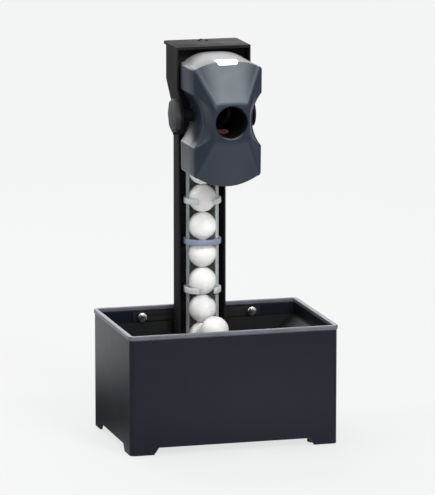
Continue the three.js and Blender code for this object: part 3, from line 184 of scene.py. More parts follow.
# How finely the shapes are drawn
RIM_STEPS, BIN_CORNER_STEPS, TRAY_CORNER_STEPS = 6, 10, 8
WELL_STEPS, SLOPE_STEPS, DOME_STEPS, POCKET_STEPS = 120, 8, 14, 64
SIDE_STEPS, CORNER_STEPS, CAP_STEPS = 28, 6, 20
FACET_STEPS, REAR_ROUND_STEPS, TRUNNION_STEPS = 10, 4, 48
TUBE_STEPS, SCREW_STEPS, INLET_STEPS, BOLT_STEPS = 72, 20, 32, 24
BALL_SEGMENTS, BALL_RINGS = 48, 24

# Screw places: side and height on the head's rear and on the mast's back, side and depth under the
# base plate, then circles of screws with their radius and the depth or height of their seat
REAR_SCREWS = ((0.039, 0.5275), (0.0375, 0.394))
MAST_SCREWS = ((0, 0.2002), (0, 0.2711), (0, 0.3300), (-0.020, 0.5453), (0.020, 0.5453),
               (-0.0264, 0.5110), (-0.0104, 0.5110))
PLATE_SCREWS = ((0.1446, 0.05), (0.075, 0.0976))
FLANGE_SCREW_CIRCLE, FLANGE_BACK = 0.02725, 0.0363
HANGER_SCREW_CIRCLE, YOKE_TOP = 0.0065, end_of("yoke_frame", "Z")
SCREW_PROFILE = [(0, -0.0008), (0.0021, -0.0008), (0.0027, 0.0), (0.0026, 0.0008),
                 (0.0019, 0.0015), (0.0011, 0.0017), (0.0008, 0.0006), (0, 0.0006)]
# The ribs round each thumb bolt's grip
GRIP_RADIUS, GRIP_RIBS, GRIP_RIB_SIZE, GRIP_BACK = 0.00635, 30, (0.0008, 0.0007, 0.0046), 0.003
# The most that a fitting or a ball is turned at random, in radians
FULL_TURN = 6.28

# Each moulding: the angle in degrees up to which it is shaded smooth, how far its edges are
# rounded, and the angle from which an edge is rounded
MOULDINGS = {
    "bin_moulding": (30, 0.0006, 50), "tray_moulding": (30, 0.0006, 45),
    "well_moulding": (30, 0.0005, 45), "disc_moulding": (30, 0.0008, 45),
    "head_front_moulding": (28, 0.0006, 40), "nose_lens": (28, 0.0003, 40),
    "head_rear_moulding": (28, 0.0004, 40),
}
# The other nodes keep their solid's shape: the angle from which an edge is rounded, the angle below
# which faces are one flat, the gap below which corners are one, and how far each node is rounded
SHARP_ANGLE, FLAT_ANGLE, MERGE_DISTANCE = 32, 0.8, 2e-6
EDGES = {
    "base_plate": 0.0005,
    "foot_front_left": 0.0010, "foot_front_right": 0.0010,
    "foot_back_left": 0.0010, "foot_back_right": 0.0010,
    "lift_ramp": 0.0005, "feed_motor": 0.0005, "control_board": 0.0002, "power_inlet": 0.0003,
    "switch_housing": 0.0004, "power_rocker": 0.0004, "mast_bracket": 0.0004,
    "thumb_bolt_left": 0.0005, "thumb_bolt_right": 0.0005, "mast_channel": 0.0004,
    "mast_bolt_1": 0.0003, "mast_bolt_2": 0.0003, "tube_foot": 0.0005,
    "tube_clip_1": 0.0004, "tube_clip_2": 0.0004, "tube_clip_3": 0.0004, "mast_head": 0.0005,
    "pan_gear_shaft": 0.0001, "pan_pinion": 0.0001, "pan_motor": 0.0005,
    "pan_motor_plate": 0.0003, "yoke_frame": 0.0005, "ball_elbow": 0.0004, "pivot_screw": 0.0003,
    "head_chassis": 0.0003, "upper_wheel_hub": 0.0003, "lower_wheel_hub": 0.0003,
    "upper_wheel_tyre": 0.0005, "lower_wheel_tyre": 0.0005, "upper_wheel_motor": 0.0005,
    "lower_wheel_motor": 0.0005, "tilt_knob": 0.0010,
}

# The photograph's direction, in degrees from the front and from the ground
VIEW_AZIMUTH, VIEW_ELEVATION = -15.6, 10.8
VIEW_TARGET = (0.004, 0.0, 0.272)
VIEW_DISTANCE = 6.287
LENS_LENGTH = 322
SENSOR_WIDTH = 36

# The studio: each lamp's place, target, size and power, then the floor and the world
LAMPS = {
    "key_lamp": ((0.75, -2.5, 2.0), (0, 0, 0.35), (0.95, 0.75), 64),
    "front_lamp": ((-0.7, -2.8, 0.9), (0, 0, 0.3), (1.6, 1.6), 27),
    "back_lamp": ((-0.1, 2.4, 1.6), (0, 0, 0.45), (2.8, 1.8), 70),
    "top_lamp": ((-0.2, 0.1, 3.0), (0, 0, 0.2), (2.2, 2.2), 42),
    "side_lamp": ((-2.6, 0.4, 2.0), (0, 0, 0.25), (1.0, 0.8), 28),
}
BACKDROP = (0.90, 0.905, 0.91, 1)
FLOOR_COLOUR = (0.62, 0.62, 0.62, 1)
FLOOR_HALF = 20
WORLD_STRENGTH = 0.24
# Shares over the floor: round which spot, the share near it and far from it, from and to where
# The first three give the floor's glow in glosses: painted reflections, darker near the robot and
# bright on a patch in front
FLOOR_IN_A_GLOSS = ((-0.20, 0.20, 0.0), 0.10, 1.0, 0.08, 0.46)
GLOSS_FADES_FAR_OFF = ((-0.30, 0.70, 0.0), 1.0, 0.43, 0.9, 2.4)
GLOW_SEEN_IN_GLOSS_IN_FRONT = ((0.15, -0.45, 0.0), 2.2, 0.0, 0.10, 0.50)
FLOOR_TURNS_TO_BACKDROP = ((0.0, 0.0, 0.0), 0.80, 1.0, 0.5, 2.2)


# Small helpers

def put_in_scene(name, data):
    item = bpy.data.objects.new(name, data)
    bpy.context.collection.objects.link(item)
    return item


def aim(item, place, target):
    """Puts a camera or a lamp at a place, so that it looks at the target"""
    turn = (Vector(target) - Vector(place)).to_track_quat("-Z", "Y")
    item.matrix_world = Matrix.Translation(place) @ turn.to_matrix().to_4x4()


def fill(tree, node, inputs):
    """Gives each input its value, or joins it to the socket that feeds it"""
    for name, value in inputs.items():
        if isinstance(value, bpy.types.NodeSocket):
            tree.links.new(value, node.inputs[name])
        else:
            node.inputs[name].default_value = value


def add_node(tree, kind, inputs=None, **settings):
    """A new node with its settings and its inputs"""
    node = tree.nodes.new(kind)
    for name, value in settings.items():
        setattr(node, name, value)
    fill(tree, node, inputs or {})
    return node


def combine(tree, operation, first, second):
    """Two sockets, or a socket and a number, put through one step of arithmetic"""
    step = add_node(tree, "ShaderNodeMath", {0: first, 1: second}, operation=operation)
    return step.outputs[0]


def between(tree, mask, low, high, from_low=0.3, from_high=0.7):
    """The mask, taken from its own two limits to the two limits low and high"""
    reach = add_node(tree, "ShaderNodeMapRange", {
        "Value": mask, "From Min": from_low, "From Max": from_high, "To Min": low, "To Max": high})
    return reach.outputs["Result"]


def own_place(tree):
    """The piece's own coordinates"""
    return add_node(tree, "ShaderNodeTexCoord").outputs["Object"]


def height_of(tree, vector):
    return add_node(tree, "ShaderNodeSeparateXYZ", {"Vector": vector}).outputs["Z"]


# Camera and studio

def add_camera():
    """The photograph's direction: from the robot's front left, a little above it"""
    azimuth, elevation = math.radians(VIEW_AZIMUTH), math.radians(VIEW_ELEVATION)
    back = Vector((math.sin(azimuth) * math.cos(elevation),
                   -math.cos(azimuth) * math.cos(elevation), math.sin(elevation)))
    data = bpy.data.cameras.new("camera")
    data.lens = LENS_LENGTH
    data.sensor_width = SENSOR_WIDTH
    camera = put_in_scene("camera", data)
    aim(camera, Vector(VIEW_TARGET) + VIEW_DISTANCE * back, VIEW_TARGET)
    bpy.context.scene.camera = camera


def add_lamps():
    for name, (place, target, size, power) in LAMPS.items():
        data = bpy.data.lights.new(name, "AREA")
        data.shape = "RECTANGLE"
        data.size, data.size_y = size
        data.energy = power
        lamp = put_in_scene(name, data)
        aim(lamp, place, target)
        lamp.visible_camera = False


def looked_at(tree, directly, in_a_gloss):
    """The first share where the camera or the clear tube looks, the second one in a gloss,
    and 0 for shared light"""
    path = add_node(tree, "ShaderNodeLightPath").outputs
    seen = combine(tree, "MAXIMUM", path["Is Camera Ray"], path["Is Transmission Ray"])
    return combine(tree, "MAXIMUM", combine(tree, "MULTIPLY", seen, directly),
                   combine(tree, "MULTIPLY", path["Is Glossy Ray"], in_a_gloss))


def away_from(tree, middle, low, high, near, far):
    """A share that runs from low to high between two distances from a spot on the floor"""
    away = add_node(tree, "ShaderNodeVectorMath", {0: own_place(tree), 1: middle},
                    operation="DISTANCE")
    return between(tree, away.outputs["Value"], low, high, near, far)


def add_floor():
    """A pale floor with soft shadows. It turns to the backdrop's tone far off. In glosses it shows
    darker close to the robot and bright on a glowing patch in front of it: painted reflections that
    no lamp casts."""
    mesh = bpy.data.meshes.new("floor")
    mesh.from_pydata([(-FLOOR_HALF, -FLOOR_HALF, 0), (FLOOR_HALF, -FLOOR_HALF, 0),
                      (FLOOR_HALF, FLOOR_HALF, 0), (-FLOOR_HALF, FLOOR_HALF, 0)],
                     [], [(0, 1, 2, 3)])
    paper, tree, shader = new_finish("floor_paper", FLOOR_COLOUR, 0.9, 0.1)
    gloss = combine(tree, "MULTIPLY", away_from(tree, *FLOOR_IN_A_GLOSS),
                    away_from(tree, *GLOSS_FADES_FAR_OFF))
    gloss = combine(tree, "MAXIMUM", gloss, away_from(tree, *GLOW_SEEN_IN_GLOSS_IN_FRONT))
    glow = add_node(tree, "ShaderNodeEmission",
                    {"Color": BACKDROP, "Strength": looked_at(tree, 1.0, gloss)})
    unlit = away_from(tree, *FLOOR_TURNS_TO_BACKDROP)
    mix = add_node(tree, "ShaderNodeMixShader", {
        0: looked_at(tree, unlit, 1.0), 1: shader.outputs[0], 2: glow.outputs[0]})
    fill(tree, tree.nodes["Material Output"], {"Surface": mix.outputs[0]})
    mesh.materials.append(paper)
    put_in_scene("floor", mesh)


def add_world():
    """Even soft light, and the backdrop where the camera, a gloss or the clear tube looks past
    the floor"""
    world = bpy.data.worlds.new("studio")
    world.use_nodes = True
    tree = world.node_tree
    light = tree.nodes["Background"]
    fill(tree, light, {"Color": (1, 1, 1, 1), "Strength": WORLD_STRENGTH})
    seen = add_node(tree, "ShaderNodeBackground", {"Color": BACKDROP})
    mix = add_node(tree, "ShaderNodeMixShader", {
        0: looked_at(tree, 1.0, 0.5), 1: light.outputs[0], 2: seen.outputs[0]})
    fill(tree, tree.nodes["World Output"], {"Surface": mix.outputs[0]})
    bpy.context.scene.world = world
    bpy.context.scene.view_settings.view_transform = "Standard"


# Finishes

def tone(red, green, blue):
    """A colour as it looks on a screen, 0 to 255, made linear"""
    channels = []
    for value in (red, green, blue):
        share = value / 255
        channels.append(share / 12.92 if share <= 0.04045 else ((share + 0.055) / 1.055) ** 2.4)
    return (*channels, 1.0)


def scaled(colour, share):
    return (*(min(1.0, channel * share) for channel in colour[:3]), 1.0)


def new_finish(name, colour, roughness, specular=0.5, metallic=0.0):
    material = bpy.data.materials.new(name)
    material.use_nodes = True
    tree = material.node_tree
    shader = tree.nodes["Principled BSDF"]
    fill(tree, shader, {"Base Color": colour, "Roughness": roughness,
                        "Specular IOR Level": specular, "Metallic": metallic})
    return material, tree, shader


def mottle(tree, size, detail=3.0, stretch=(1, 1, 1)):
    """Soft blotches about the given size across, on the piece's own coordinates"""
    turn = add_node(tree, "ShaderNodeMapping", {"Vector": own_place(tree), "Scale": stretch})
    noise = add_node(tree, "ShaderNodeTexNoise", {
        "Vector": turn.outputs["Vector"], "Scale": 1.0 / size, "Detail": detail})
    return noise.outputs["Fac"]


def blended(tree, mask, first, second):
    """Two colours, or a socket and a colour, mixed by the mask"""
    mix = add_node(tree, "ShaderNodeMix", {0: mask, 6: first, 7: second}, data_type="RGBA")
    return mix.outputs[2]


def press_relief(tree, shader, height, depth):
    """A surface relief of the given depth in metres"""
    bump = add_node(tree, "ShaderNodeBump", {"Distance": depth, "Height": height})
    fill(tree, shader, {"Normal": bump.outputs["Normal"]})


def edge_mask(tree, width):
    """1 along an edge and 0 on the flats: how far the rounded normal leans from the plain one"""
    rounded = add_node(tree, "ShaderNodeBevel", {"Radius": width}, samples=4)
    plain = add_node(tree, "ShaderNodeNewGeometry")
    lean = add_node(tree, "ShaderNodeVectorMath", {
        0: rounded.outputs["Normal"], 1: plain.outputs["Normal"]}, operation="DOT_PRODUCT")
    return between(tree, lean.outputs["Value"], 1.0, 0.0, 0.75, 0.98)


def upward_dust_and_light_mask(tree):
    """1 on the piece's upper faces, a little broken up, and 0 on its walls: where dust settles, and
    where a painted top light makes the piece paler
    """
    surface = add_node(tree, "ShaderNodeNewGeometry")
    own = add_node(tree, "ShaderNodeVectorTransform", {"Vector": surface.outputs["Normal"]},
                   vector_type="NORMAL", convert_from="WORLD", convert_to="OBJECT")
    upward = between(tree, height_of(tree, own.outputs["Vector"]), 0.0, 1.0, 0.5, 0.9)
    return combine(tree, "MULTIPLY", upward, between(tree, mottle(tree, 0.009), 0.8, 1.0))


def moulded(name, colour, roughness, specular, grain, relief, shade,
            rub=0.0, rub_width=0.0012, rub_and_highlight_tone=None, dust_and_top_light=0.0):
    """Moulded plastic: spark-textured skin, faint flow shading, uneven gloss, rubbed edges, on the
    bin with a painted highlight, and dust with a painted top light
    """
    material, tree, shader = new_finish(name, colour, roughness, specular)
    flow = between(tree, mottle(tree, 0.045, 2.0), 0.0, 1.0)
    base = blended(tree, flow, scaled(colour, 1 - shade), scaled(colour, 1 + shade))
    # Rubbed edges made paler: wear, and on the bin a painted highlight along its edges
    if rub:
        rubbed_and_highlit = between(tree, mottle(tree, 0.006, 4.0), 0.2 * rub, rub)
        rubbed_and_highlit = combine(tree, "MULTIPLY", edge_mask(tree, rub_width), rubbed_and_highlit)
        base = blended(tree, rubbed_and_highlit, base, rub_and_highlight_tone or scaled(colour, 2.6))
    gloss = between(tree, mottle(tree, 0.018, 4.0), roughness - 0.01, roughness + 0.02)
    # Dust and painted top light: the upper faces made paler and rougher, as if lit from above
    if dust_and_top_light:
        pale_top = upward_dust_and_light_mask(tree)
        base = blended(tree, combine(tree, "MULTIPLY", pale_top, dust_and_top_light), base, tone(188, 187, 184))
        gloss = combine(tree, "ADD", gloss, combine(tree, "MULTIPLY", pale_top, 0.16))
    fill(tree, shader, {"Base Color": base, "Roughness": gloss})
    press_relief(tree, shader, mottle(tree, grain, 2.0), relief)
    return material


def powder_coated(name, colour, roughness):
    """Powder coat on steel: orange peel, fine speckle, bare-looking edges"""
    material, tree, shader = new_finish(name, colour, roughness, 0.06)
    speckle = between(tree, mottle(tree, 0.0009, 1.0), 0.0, 1.0, 0.35, 0.65)
    base = blended(tree, speckle, scaled(colour, 0.86), scaled(colour, 1.16))
    bare = combine(tree, "MULTIPLY", edge_mask(tree, 0.0008), 0.35)
    fill(tree, shader, {
        "Base Color": blended(tree, bare, base, scaled(colour, 2.2)),
        "Roughness": between(tree, mottle(tree, 0.03), roughness - 0.05, roughness + 0.06)})
    press_relief(tree, shader, mottle(tree, 0.0022, 2.0), 0.00006)
    return material


def plated(name, colour, roughness, stretch):
    """Plated or turned steel: fine drawn lines along one way, with uneven gloss"""
    material, tree, shader = new_finish(name, colour, roughness, 0.5, 1.0)
    lines = mottle(tree, 0.0011, 3.0, stretch)
    bright = between(tree, lines, 0.0, 1.0)
    fill(tree, shader, {
        "Base Color": blended(tree, bright, scaled(colour, 0.82), scaled(colour, 1.08)),
        "Roughness": between(tree, lines, roughness - 0.06, roughness + 0.1)})
    press_relief(tree, shader, lines, 0.00002)
    return material


def rubbery(name, colour, size, depth):
    """Rubber or foam: open pores over a matt skin"""
    material, tree, shader = new_finish(name, colour, 0.85, 0.3)
    pores = add_node(tree, "ShaderNodeTexVoronoi", {"Vector": own_place(tree), "Scale": 1.0 / size})
    cells = between(tree, pores.outputs["Distance"], 0.0, 1.0, 0.1, 0.6)
    fill(tree, shader, {
        "Base Color": blended(tree, cells, scaled(colour, 0.72), scaled(colour, 1.2)),
        "Sheen Weight": 0.15})
    press_relief(tree, shader, cells, depth)
    return material


def clear_plastic(name):
    """Clear tube wall: nearly invisible face on, glossy, and opaque pale where it turns away, a
    painted reflection along its edges
    """
    material, tree, shader = new_finish(name, tone(236, 241, 244), 0.06, 0.6)
    facing = add_node(tree, "ShaderNodeLayerWeight", {"Blend": 0.5})
    # Painted reflection: the wall turns opaque pale towards its edges as seen
    edge = between(tree, facing.outputs["Facing"], 0.0, 1.0, 0.45, 0.85)
    haze = between(tree, mottle(tree, 0.012, 3.0, (1, 1, 0.15)), 0.0, 0.03)
    fill(tree, shader, {
        "Alpha": combine(tree, "ADD", combine(tree, "MULTIPLY", edge, 0.85), haze),
        "Roughness": between(tree, mottle(tree, 0.02, 2.0), 0.04, 0.1)})
    return material


def ball_skin(name):
    """Matt white ball: fine frost, faint shade, and the joint line that each ball carries"""
    colour = tone(238, 238, 236)
    material, tree, shader = new_finish(name, colour, 0.42, 0.4)
    joint = add_node(tree, "ShaderNodeAttribute", attribute_name="joint_height")
    away = add_node(tree, "ShaderNodeMath", {0: joint.outputs["Fac"]}, operation="ABSOLUTE")
    line = between(tree, away.outputs[0], 0.35, 0.0, 0.01, 0.05)
    frost = between(tree, mottle(tree, 0.01), 0.0, 1.0)
    base = blended(tree, frost, scaled(colour, 0.95), scaled(colour, 1.03))
    fill(tree, shader, {"Base Color": blended(tree, line, base, scaled(colour, 0.72)),
                        "Subsurface Weight": 0.08, "Subsurface Radius": (0.004, 0.004, 0.004)})
    press_relief(tree, shader, mottle(tree, 0.0005, 1.0), 0.00002)
    return material


def board_finish(name):
    """Green solder mask with copper tracks under it"""
    colour = tone(28, 74, 46)
    material, tree, shader = new_finish(name, colour, 0.35)
    tracks = add_node(tree, "ShaderNodeTexBrick", {
        "Vector": own_place(tree), "Scale": 160, "Mortar Size": 0.06}).outputs["Fac"]
    fill(tree, shader, {"Base Color": blended(tree, tracks, colour, tone(58, 112, 66))})
    press_relief(tree, shader, tracks, 0.00008)
    return material


def rub_and_highlight_rim(material, colour):
    """The bin's rolled rim made paler all along, from just above its underside: rubbing, and a
    painted highlight along the rim
    """
    tree = material.node_tree
    shader = tree.nodes["Principled BSDF"]
    band = between(tree, height_of(tree, own_place(tree)), 0.0, 1.0,
                   RIM_UNDERSIDE, RIM_UNDERSIDE + RIM_RUB_AND_HIGHLIGHT)
    rubbed_and_highlit = combine(tree, "MULTIPLY", band, between(tree, mottle(tree, 0.02, 4.0), 0.65, 1.0))
    skin = shader.inputs["Base Color"].links[0].from_socket
    fill(tree, shader, {"Base Color": blended(tree, rubbed_and_highlit, skin, colour)})


# After its tone each moulding has its roughness, specular share, grain, relief and shade
finishes = {
    # The bin's paler rubbed edges are wear with a painted highlight; its dust share paints its
    # upper faces, the rim's top most, paler as painted top light
    "bin": moulded("bin_moulding", tone(18, 21, 31), 0.34, 0.17, 0.0012, 0.00004, 0.05,
                   rub=0.9, rub_width=0.0022, rub_and_highlight_tone=tone(112, 114, 118), dust_and_top_light=0.6),
    # The tray and well: black plastic, made darker still as painted shade for the inside of the bin
    "inner_black": moulded("inner_moulding", tone(12, 13, 14), 0.6, 0.08, 0.0010, 0.00005, 0.12),
    "rubber": rubbery("foot_rubber", tone(24, 24, 24), 0.0012, 0.00006),
    "disc_black": moulded("disc_moulding", tone(22, 22, 24), 0.45, 0.25, 0.0009, 0.00003, 0.10),
    "motor_steel": plated("motor_plating", tone(172, 172, 174), 0.32, (1, 1, 0.06)),
    "board": board_finish("board_mask"),
    "socket_black": moulded("socket_moulding", tone(20, 20, 21), 0.4, 0.35, 0.0008, 0.00003, 0.08),
    "rocker_red": moulded("rocker_moulding", tone(150, 34, 29), 0.25, 0.5, 0.0008, 0.00001, 0.08),
    "mast": powder_coated("mast_coat", tone(31, 30, 32), 0.72),
    "bright_steel": plated("bolt_plating", tone(222, 224, 226), 0.16, (1, 0.08, 1)),
    "clear_tube": clear_plastic("tube_clear"),
    "clip_grey": moulded("clip_moulding", tone(196, 199, 202), 0.42, 0.45, 0.0007, 0.00002, 0.06),
    "collar_grey": moulded("collar_moulding", tone(126, 135, 154), 0.42, 0.45,
                           0.0007, 0.00002, 0.08),
    "pinion_white": moulded("pinion_nylon", tone(228, 226, 214), 0.45, 0.4, 0.0009, 0.00003, 0.06),
    # The head's dust share also paints its upper faces paler, a painted top light
    "head": moulded("head_moulding", tone(26, 32, 44), 0.35, 0.35, 0.0009, 0.00002, 0.06,
                    rub=0.35, dust_and_top_light=0.35),
    "lens_white": moulded("lens_white", tone(248, 250, 252), 0.12, 0.5, 0.0020, 0.00001, 0.02),
    "wheel_hub": moulded("hub_moulding", tone(43, 43, 46), 0.42, 0.45, 0.0009, 0.00004, 0.10),
    "wheel_tyre": rubbery("tyre_foam", tone(98, 23, 23), 0.0011, 0.00012),
    "knob": moulded("knob_moulding", tone(46, 46, 49), 0.5, 0.20, 0.0008, 0.00006, 0.10, rub=0.4),
    "ball": ball_skin("ball_skin"),
}
# A pale band along the bin's rim: rubbing, and a painted highlight
rub_and_highlight_rim(finishes["bin"], tone(98, 100, 108))
head_shader = finishes["head"].node_tree.nodes["Principled BSDF"]
head_shader.inputs["Specular Tint"].default_value = (0.86, 0.96, 1.0, 1.0)


# Making pieces

def as_piece(name, mesh, body, slot, replaced=(), smooth=35):
    """A finished piece: smooth-shaded up to the given angle, riding on its body"""
    mesh.materials.clear()
    mesh.materials.append(finishes[slot])
    mesh.polygons.foreach_set("use_smooth", [True] * len(mesh.polygons))
    mesh.polygons.foreach_set("material_index", [0] * len(mesh.polygons))
    if smooth:
        mesh.set_sharp_from_angle(angle=math.radians(smooth))
    piece = put_in_scene(name, mesh)
    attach(piece, body)
    if replaced:
        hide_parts(*replaced)
    return piece


def soften(piece, width, angle):
    """Rounds the piece's own edges that are sharper than the angle"""
    bevel = piece.modifiers.new("rounded_edges", "BEVEL")
    bevel.width = width
    bevel.segments = 2
    bevel.limit_method = "ANGLE"
    bevel.angle_limit = math.radians(angle)
    bevel.harden_normals = True


def as_moulding(name, mesh, body, slot, node):
    """A finished piece that stands for one node, its edges rounded"""
    smooth, width, sharp = MOULDINGS[name]
    soften(as_piece(name, mesh, body, slot, [node], smooth), width, sharp)


def rounded_piece(node, edge):
    """The node's shape in its place: one closed mesh, each flat made whole, its edges rounded"""
    faces = bmesh.new()
    faces.from_mesh(frame["nodes"][node].data)
    bmesh.ops.remove_doubles(faces, verts=faces.verts, dist=MERGE_DISTANCE)
    bmesh.ops.dissolve_limit(faces, angle_limit=math.radians(FLAT_ANGLE), verts=faces.verts,
                             edges=faces.edges)
    name = f"{node}_finished"
    piece = as_piece(name, to_mesh(faces, name), body_of[node], slot_of[node], (node,), 0)
    soften(piece, edge, SHARP_ANGLE)


def to_mesh(shape, name, place=Matrix.Identity(4)):
    mesh = bpy.data.meshes.new(name)
    shape.to_mesh(mesh)
    shape.free()
    mesh.transform(place)
    return mesh


def neighbours(rings, close):
    """Each ring with the next one, and the last with the first where the solid closes on itself"""
    return list(zip(rings, rings[1:] + rings[:1] if close else rings[1:]))


def lathe(profile, steps, close=True):
    """A closed solid turned about Z from a profile of (radius, height)"""
    shape = bmesh.new()
    rings = []
    for radius, height in profile:
        if radius < 1e-7:
            rings.append([shape.verts.new((0, 0, height))])
        else:
            rings.append([shape.verts.new((x, y, height))
                          for x, y in circle_points(radius, (0, 0), steps)])
    for low, high in neighbours(rings, close):
        for i in range(steps):
            k = (i + 1) % steps
            corners = [low[i % len(low)], low[k % len(low)],
                       high[k % len(high)], high[i % len(high)]]
            corners = list(dict.fromkeys(corners))
            if len(corners) > 2:
                shape.faces.new(corners)
    bmesh.ops.recalc_face_normals(shape, faces=shape.faces)
    return shape


def loft(rings, close=False):
    """A solid skinned over rings of points: capped at both ends, or closed on its first ring"""
    shape = bmesh.new()
    drawn = [[shape.verts.new(point) for point in ring] for ring in rings]
    count = len(drawn[0])
    for first, second in neighbours(drawn, close):
        for i in range(count):
            k = (i + 1) % count
            shape.faces.new((first[i], first[k], second[k], second[i]))
    if not close:
        shape.faces.new(drawn[0])
        shape.faces.new(drawn[-1])
    bmesh.ops.recalc_face_normals(shape, faces=shape.faces)
    return shape


def steps_between(first, second, count):
    """Rings evenly spaced from the first ring to the second, without either"""
    return [[a.lerp(b, step / count) for a, b in zip(first, second)] for step in range(1, count)]


def prism(outline, axis, low, high):
    """A closed prism over an outline of flat points, along X, Y or Z"""
    order = {"X": lambda a, b, end: (end, a, b), "Y": lambda a, b, end: (a, end, b),
             "Z": lambda a, b, end: (a, b, end)}[axis]
    return loft([[Vector(order(a, b, end)) for a, b in outline] for end in (low, high)])


def circle_points(radius, middle, steps, start=0.0):
    angles = [start + 2 * math.pi * i / steps for i in range(steps)]
    return [(middle[0] + radius * math.cos(a), middle[1] + radius * math.sin(a)) for a in angles]


def quarter_turn(middle, radius, quarter, steps):
    """The points of a rounded corner about its middle, both ends in"""
    return circle_points(radius, middle, 4 * steps, math.pi / 2 * quarter)[:steps + 1]


def evaluated_mesh(carrier, name):
    """The object's mesh with its modifiers applied, as a mesh of its own"""
    graph = bpy.context.evaluated_depsgraph_get()
    graph.update()
    mesh = bpy.data.meshes.new_from_object(carrier.evaluated_get(graph))
    mesh.name = name
    return mesh


def combined(name, shape, steps):
    """The shape with each tool taken from it, or with what it shares with the tool kept"""
    carrier = put_in_scene(f"{name}_carrier", to_mesh(shape, f"{name}_blank"))
    helpers = []
    for operation, tool in steps:
        helper = put_in_scene(f"{name}_tool", to_mesh(tool, f"{name}_tool"))
        helpers.append(helper)
        step = carrier.modifiers.new("shape", "BOOLEAN")
        step.operation = operation
        step.solver = "EXACT"
        step.object = helper
    mesh = evaluated_mesh(carrier, name)
    for extra in (carrier, *helpers):
        bpy.data.objects.remove(extra)
    return mesh


# Repeated details

def new_tree(name, inputs):
    """An empty geometry tree with a geometry in and out, and the named inputs"""
    tree = bpy.data.node_groups.new(name, "GeometryNodeTree")
    for label, kind in {"Geometry": "Geometry", **inputs}.items():
        tree.interface.new_socket(label, in_out="INPUT", socket_type=f"NodeSocket{kind}")
    tree.interface.new_socket("Geometry", in_out="OUTPUT", socket_type="NodeSocketGeometry")
    return tree, tree.nodes.new("NodeGroupInput").outputs


def finish_tree(tree, given, points, model, turn, size=None):
    """Ends a tree: a model on each point, realized, with the given finish"""
    place = add_node(tree, "GeometryNodeInstanceOnPoints", {
        "Points": points, "Instance": model, "Rotation": turn})
    if size:
        fill(tree, place, {"Scale": size})
    solid = add_node(tree, "GeometryNodeRealizeInstances", {"Geometry": place.outputs["Instances"]})
    painted = add_node(tree, "GeometryNodeSetMaterial", {
        "Geometry": solid.outputs["Geometry"], "Material": given["Finish"]})
    add_node(tree, "NodeGroupOutput", {"Geometry": painted.outputs["Geometry"]})
    return tree


def fastener_tree():
    """One fitting on each point, its own Z along the point's facing, turned at random"""
    tree, given = new_tree("fittings_on_points", {
        "Fitting": "Object", "Turn": "Float", "Size": "Float", "Seed": "Int",
        "Finish": "Material"})
    points = add_node(tree, "GeometryNodeMeshToPoints", {"Mesh": given["Geometry"]})
    facing = add_node(tree, "GeometryNodeInputNamedAttribute", {"Name": "facing"},
                      data_type="FLOAT_VECTOR")
    align = add_node(tree, "FunctionNodeAlignRotationToVector",
                     {"Vector": facing.outputs["Attribute"]}, axis="Z")
    chance = add_node(tree, "FunctionNodeRandomValue", {3: given["Turn"], "Seed": given["Seed"]},
                      data_type="FLOAT")
    spin = add_node(tree, "FunctionNodeAxisAngleToRotation", {"Angle": chance.outputs[1]})
    both = add_node(tree, "FunctionNodeRotateRotation", {
        "Rotation": align.outputs["Rotation"], "Rotate By": spin.outputs["Rotation"]},
        rotation_space="LOCAL")
    model = add_node(tree, "GeometryNodeObjectInfo", {"Object": given["Fitting"]})
    return finish_tree(tree, given, points.outputs["Points"], model.outputs["Geometry"],
                       both.outputs["Rotation"], given["Size"])


def rib_ring_tree():
    """Ribs round a circle, each standing outwards from it"""
    tree, given = new_tree("ribs_round_a_grip", {
        "Radius": "Float", "Count": "Int", "Rib Size": "Vector", "Finish": "Material"})
    circle = add_node(tree, "GeometryNodeMeshCircle", {
        "Radius": given["Radius"], "Vertices": given["Count"]})
    rib = add_node(tree, "GeometryNodeMeshCube", {"Size": given["Rib Size"]})
    spot = add_node(tree, "GeometryNodeInputPosition")
    align = add_node(tree, "FunctionNodeAlignRotationToVector",
                     {"Vector": spot.outputs["Position"]}, axis="X")
    return finish_tree(tree, given, circle.outputs["Mesh"], rib.outputs["Mesh"],
                       align.outputs["Rotation"])


def ball_column_tree():
    """A column of balls, each with its own height round its joint kept on its points"""
    tree, given = new_tree("ball_column", {
        "Ball Radius": "Float", "Pitch": "Vector", "Count": "Int", "Lowest": "Vector",
        "Seed": "Int", "Finish": "Material"})
    line = add_node(tree, "GeometryNodeMeshLine", {
        "Count": given["Count"], "Start Location": given["Lowest"], "Offset": given["Pitch"]},
        mode="OFFSET")
    ball = add_node(tree, "GeometryNodeMeshUVSphere", {
        "Segments": BALL_SEGMENTS, "Rings": BALL_RINGS, "Radius": given["Ball Radius"]})
    spot = add_node(tree, "GeometryNodeInputPosition")
    share = combine(tree, "DIVIDE", height_of(tree, spot.outputs["Position"]),
                    given["Ball Radius"])
    keep = add_node(tree, "GeometryNodeStoreNamedAttribute", {
        "Geometry": ball.outputs["Mesh"], "Name": "joint_height", "Value": share},
        data_type="FLOAT")
    turn = add_node(tree, "FunctionNodeRandomValue", {
        "Max": (FULL_TURN, FULL_TURN, FULL_TURN), "Seed": given["Seed"]}, data_type="FLOAT_VECTOR")
    lie = add_node(tree, "FunctionNodeEulerToRotation", {"Euler": turn.outputs["Value"]})
    return finish_tree(tree, given, line.outputs["Mesh"], keep.outputs["Geometry"],
                       lie.outputs["Rotation"])


def grown_mesh(name, tree, values, seed_mesh=None):
    """The tree's result as a plain mesh"""
    carrier = put_in_scene(f"{name}_carrier", seed_mesh or bpy.data.meshes.new(f"{name}_seed"))
    modifier = carrier.modifiers.new("grow", "NODES")
    modifier.node_group = tree
    for item in tree.interface.items_tree:
        if item.in_out == "INPUT" and item.name in values:
            modifier[item.identifier] = values[item.name]
    mesh = evaluated_mesh(carrier, name)
    carrier.modifiers.remove(modifier)
    bpy.data.objects.remove(carrier)
    return mesh


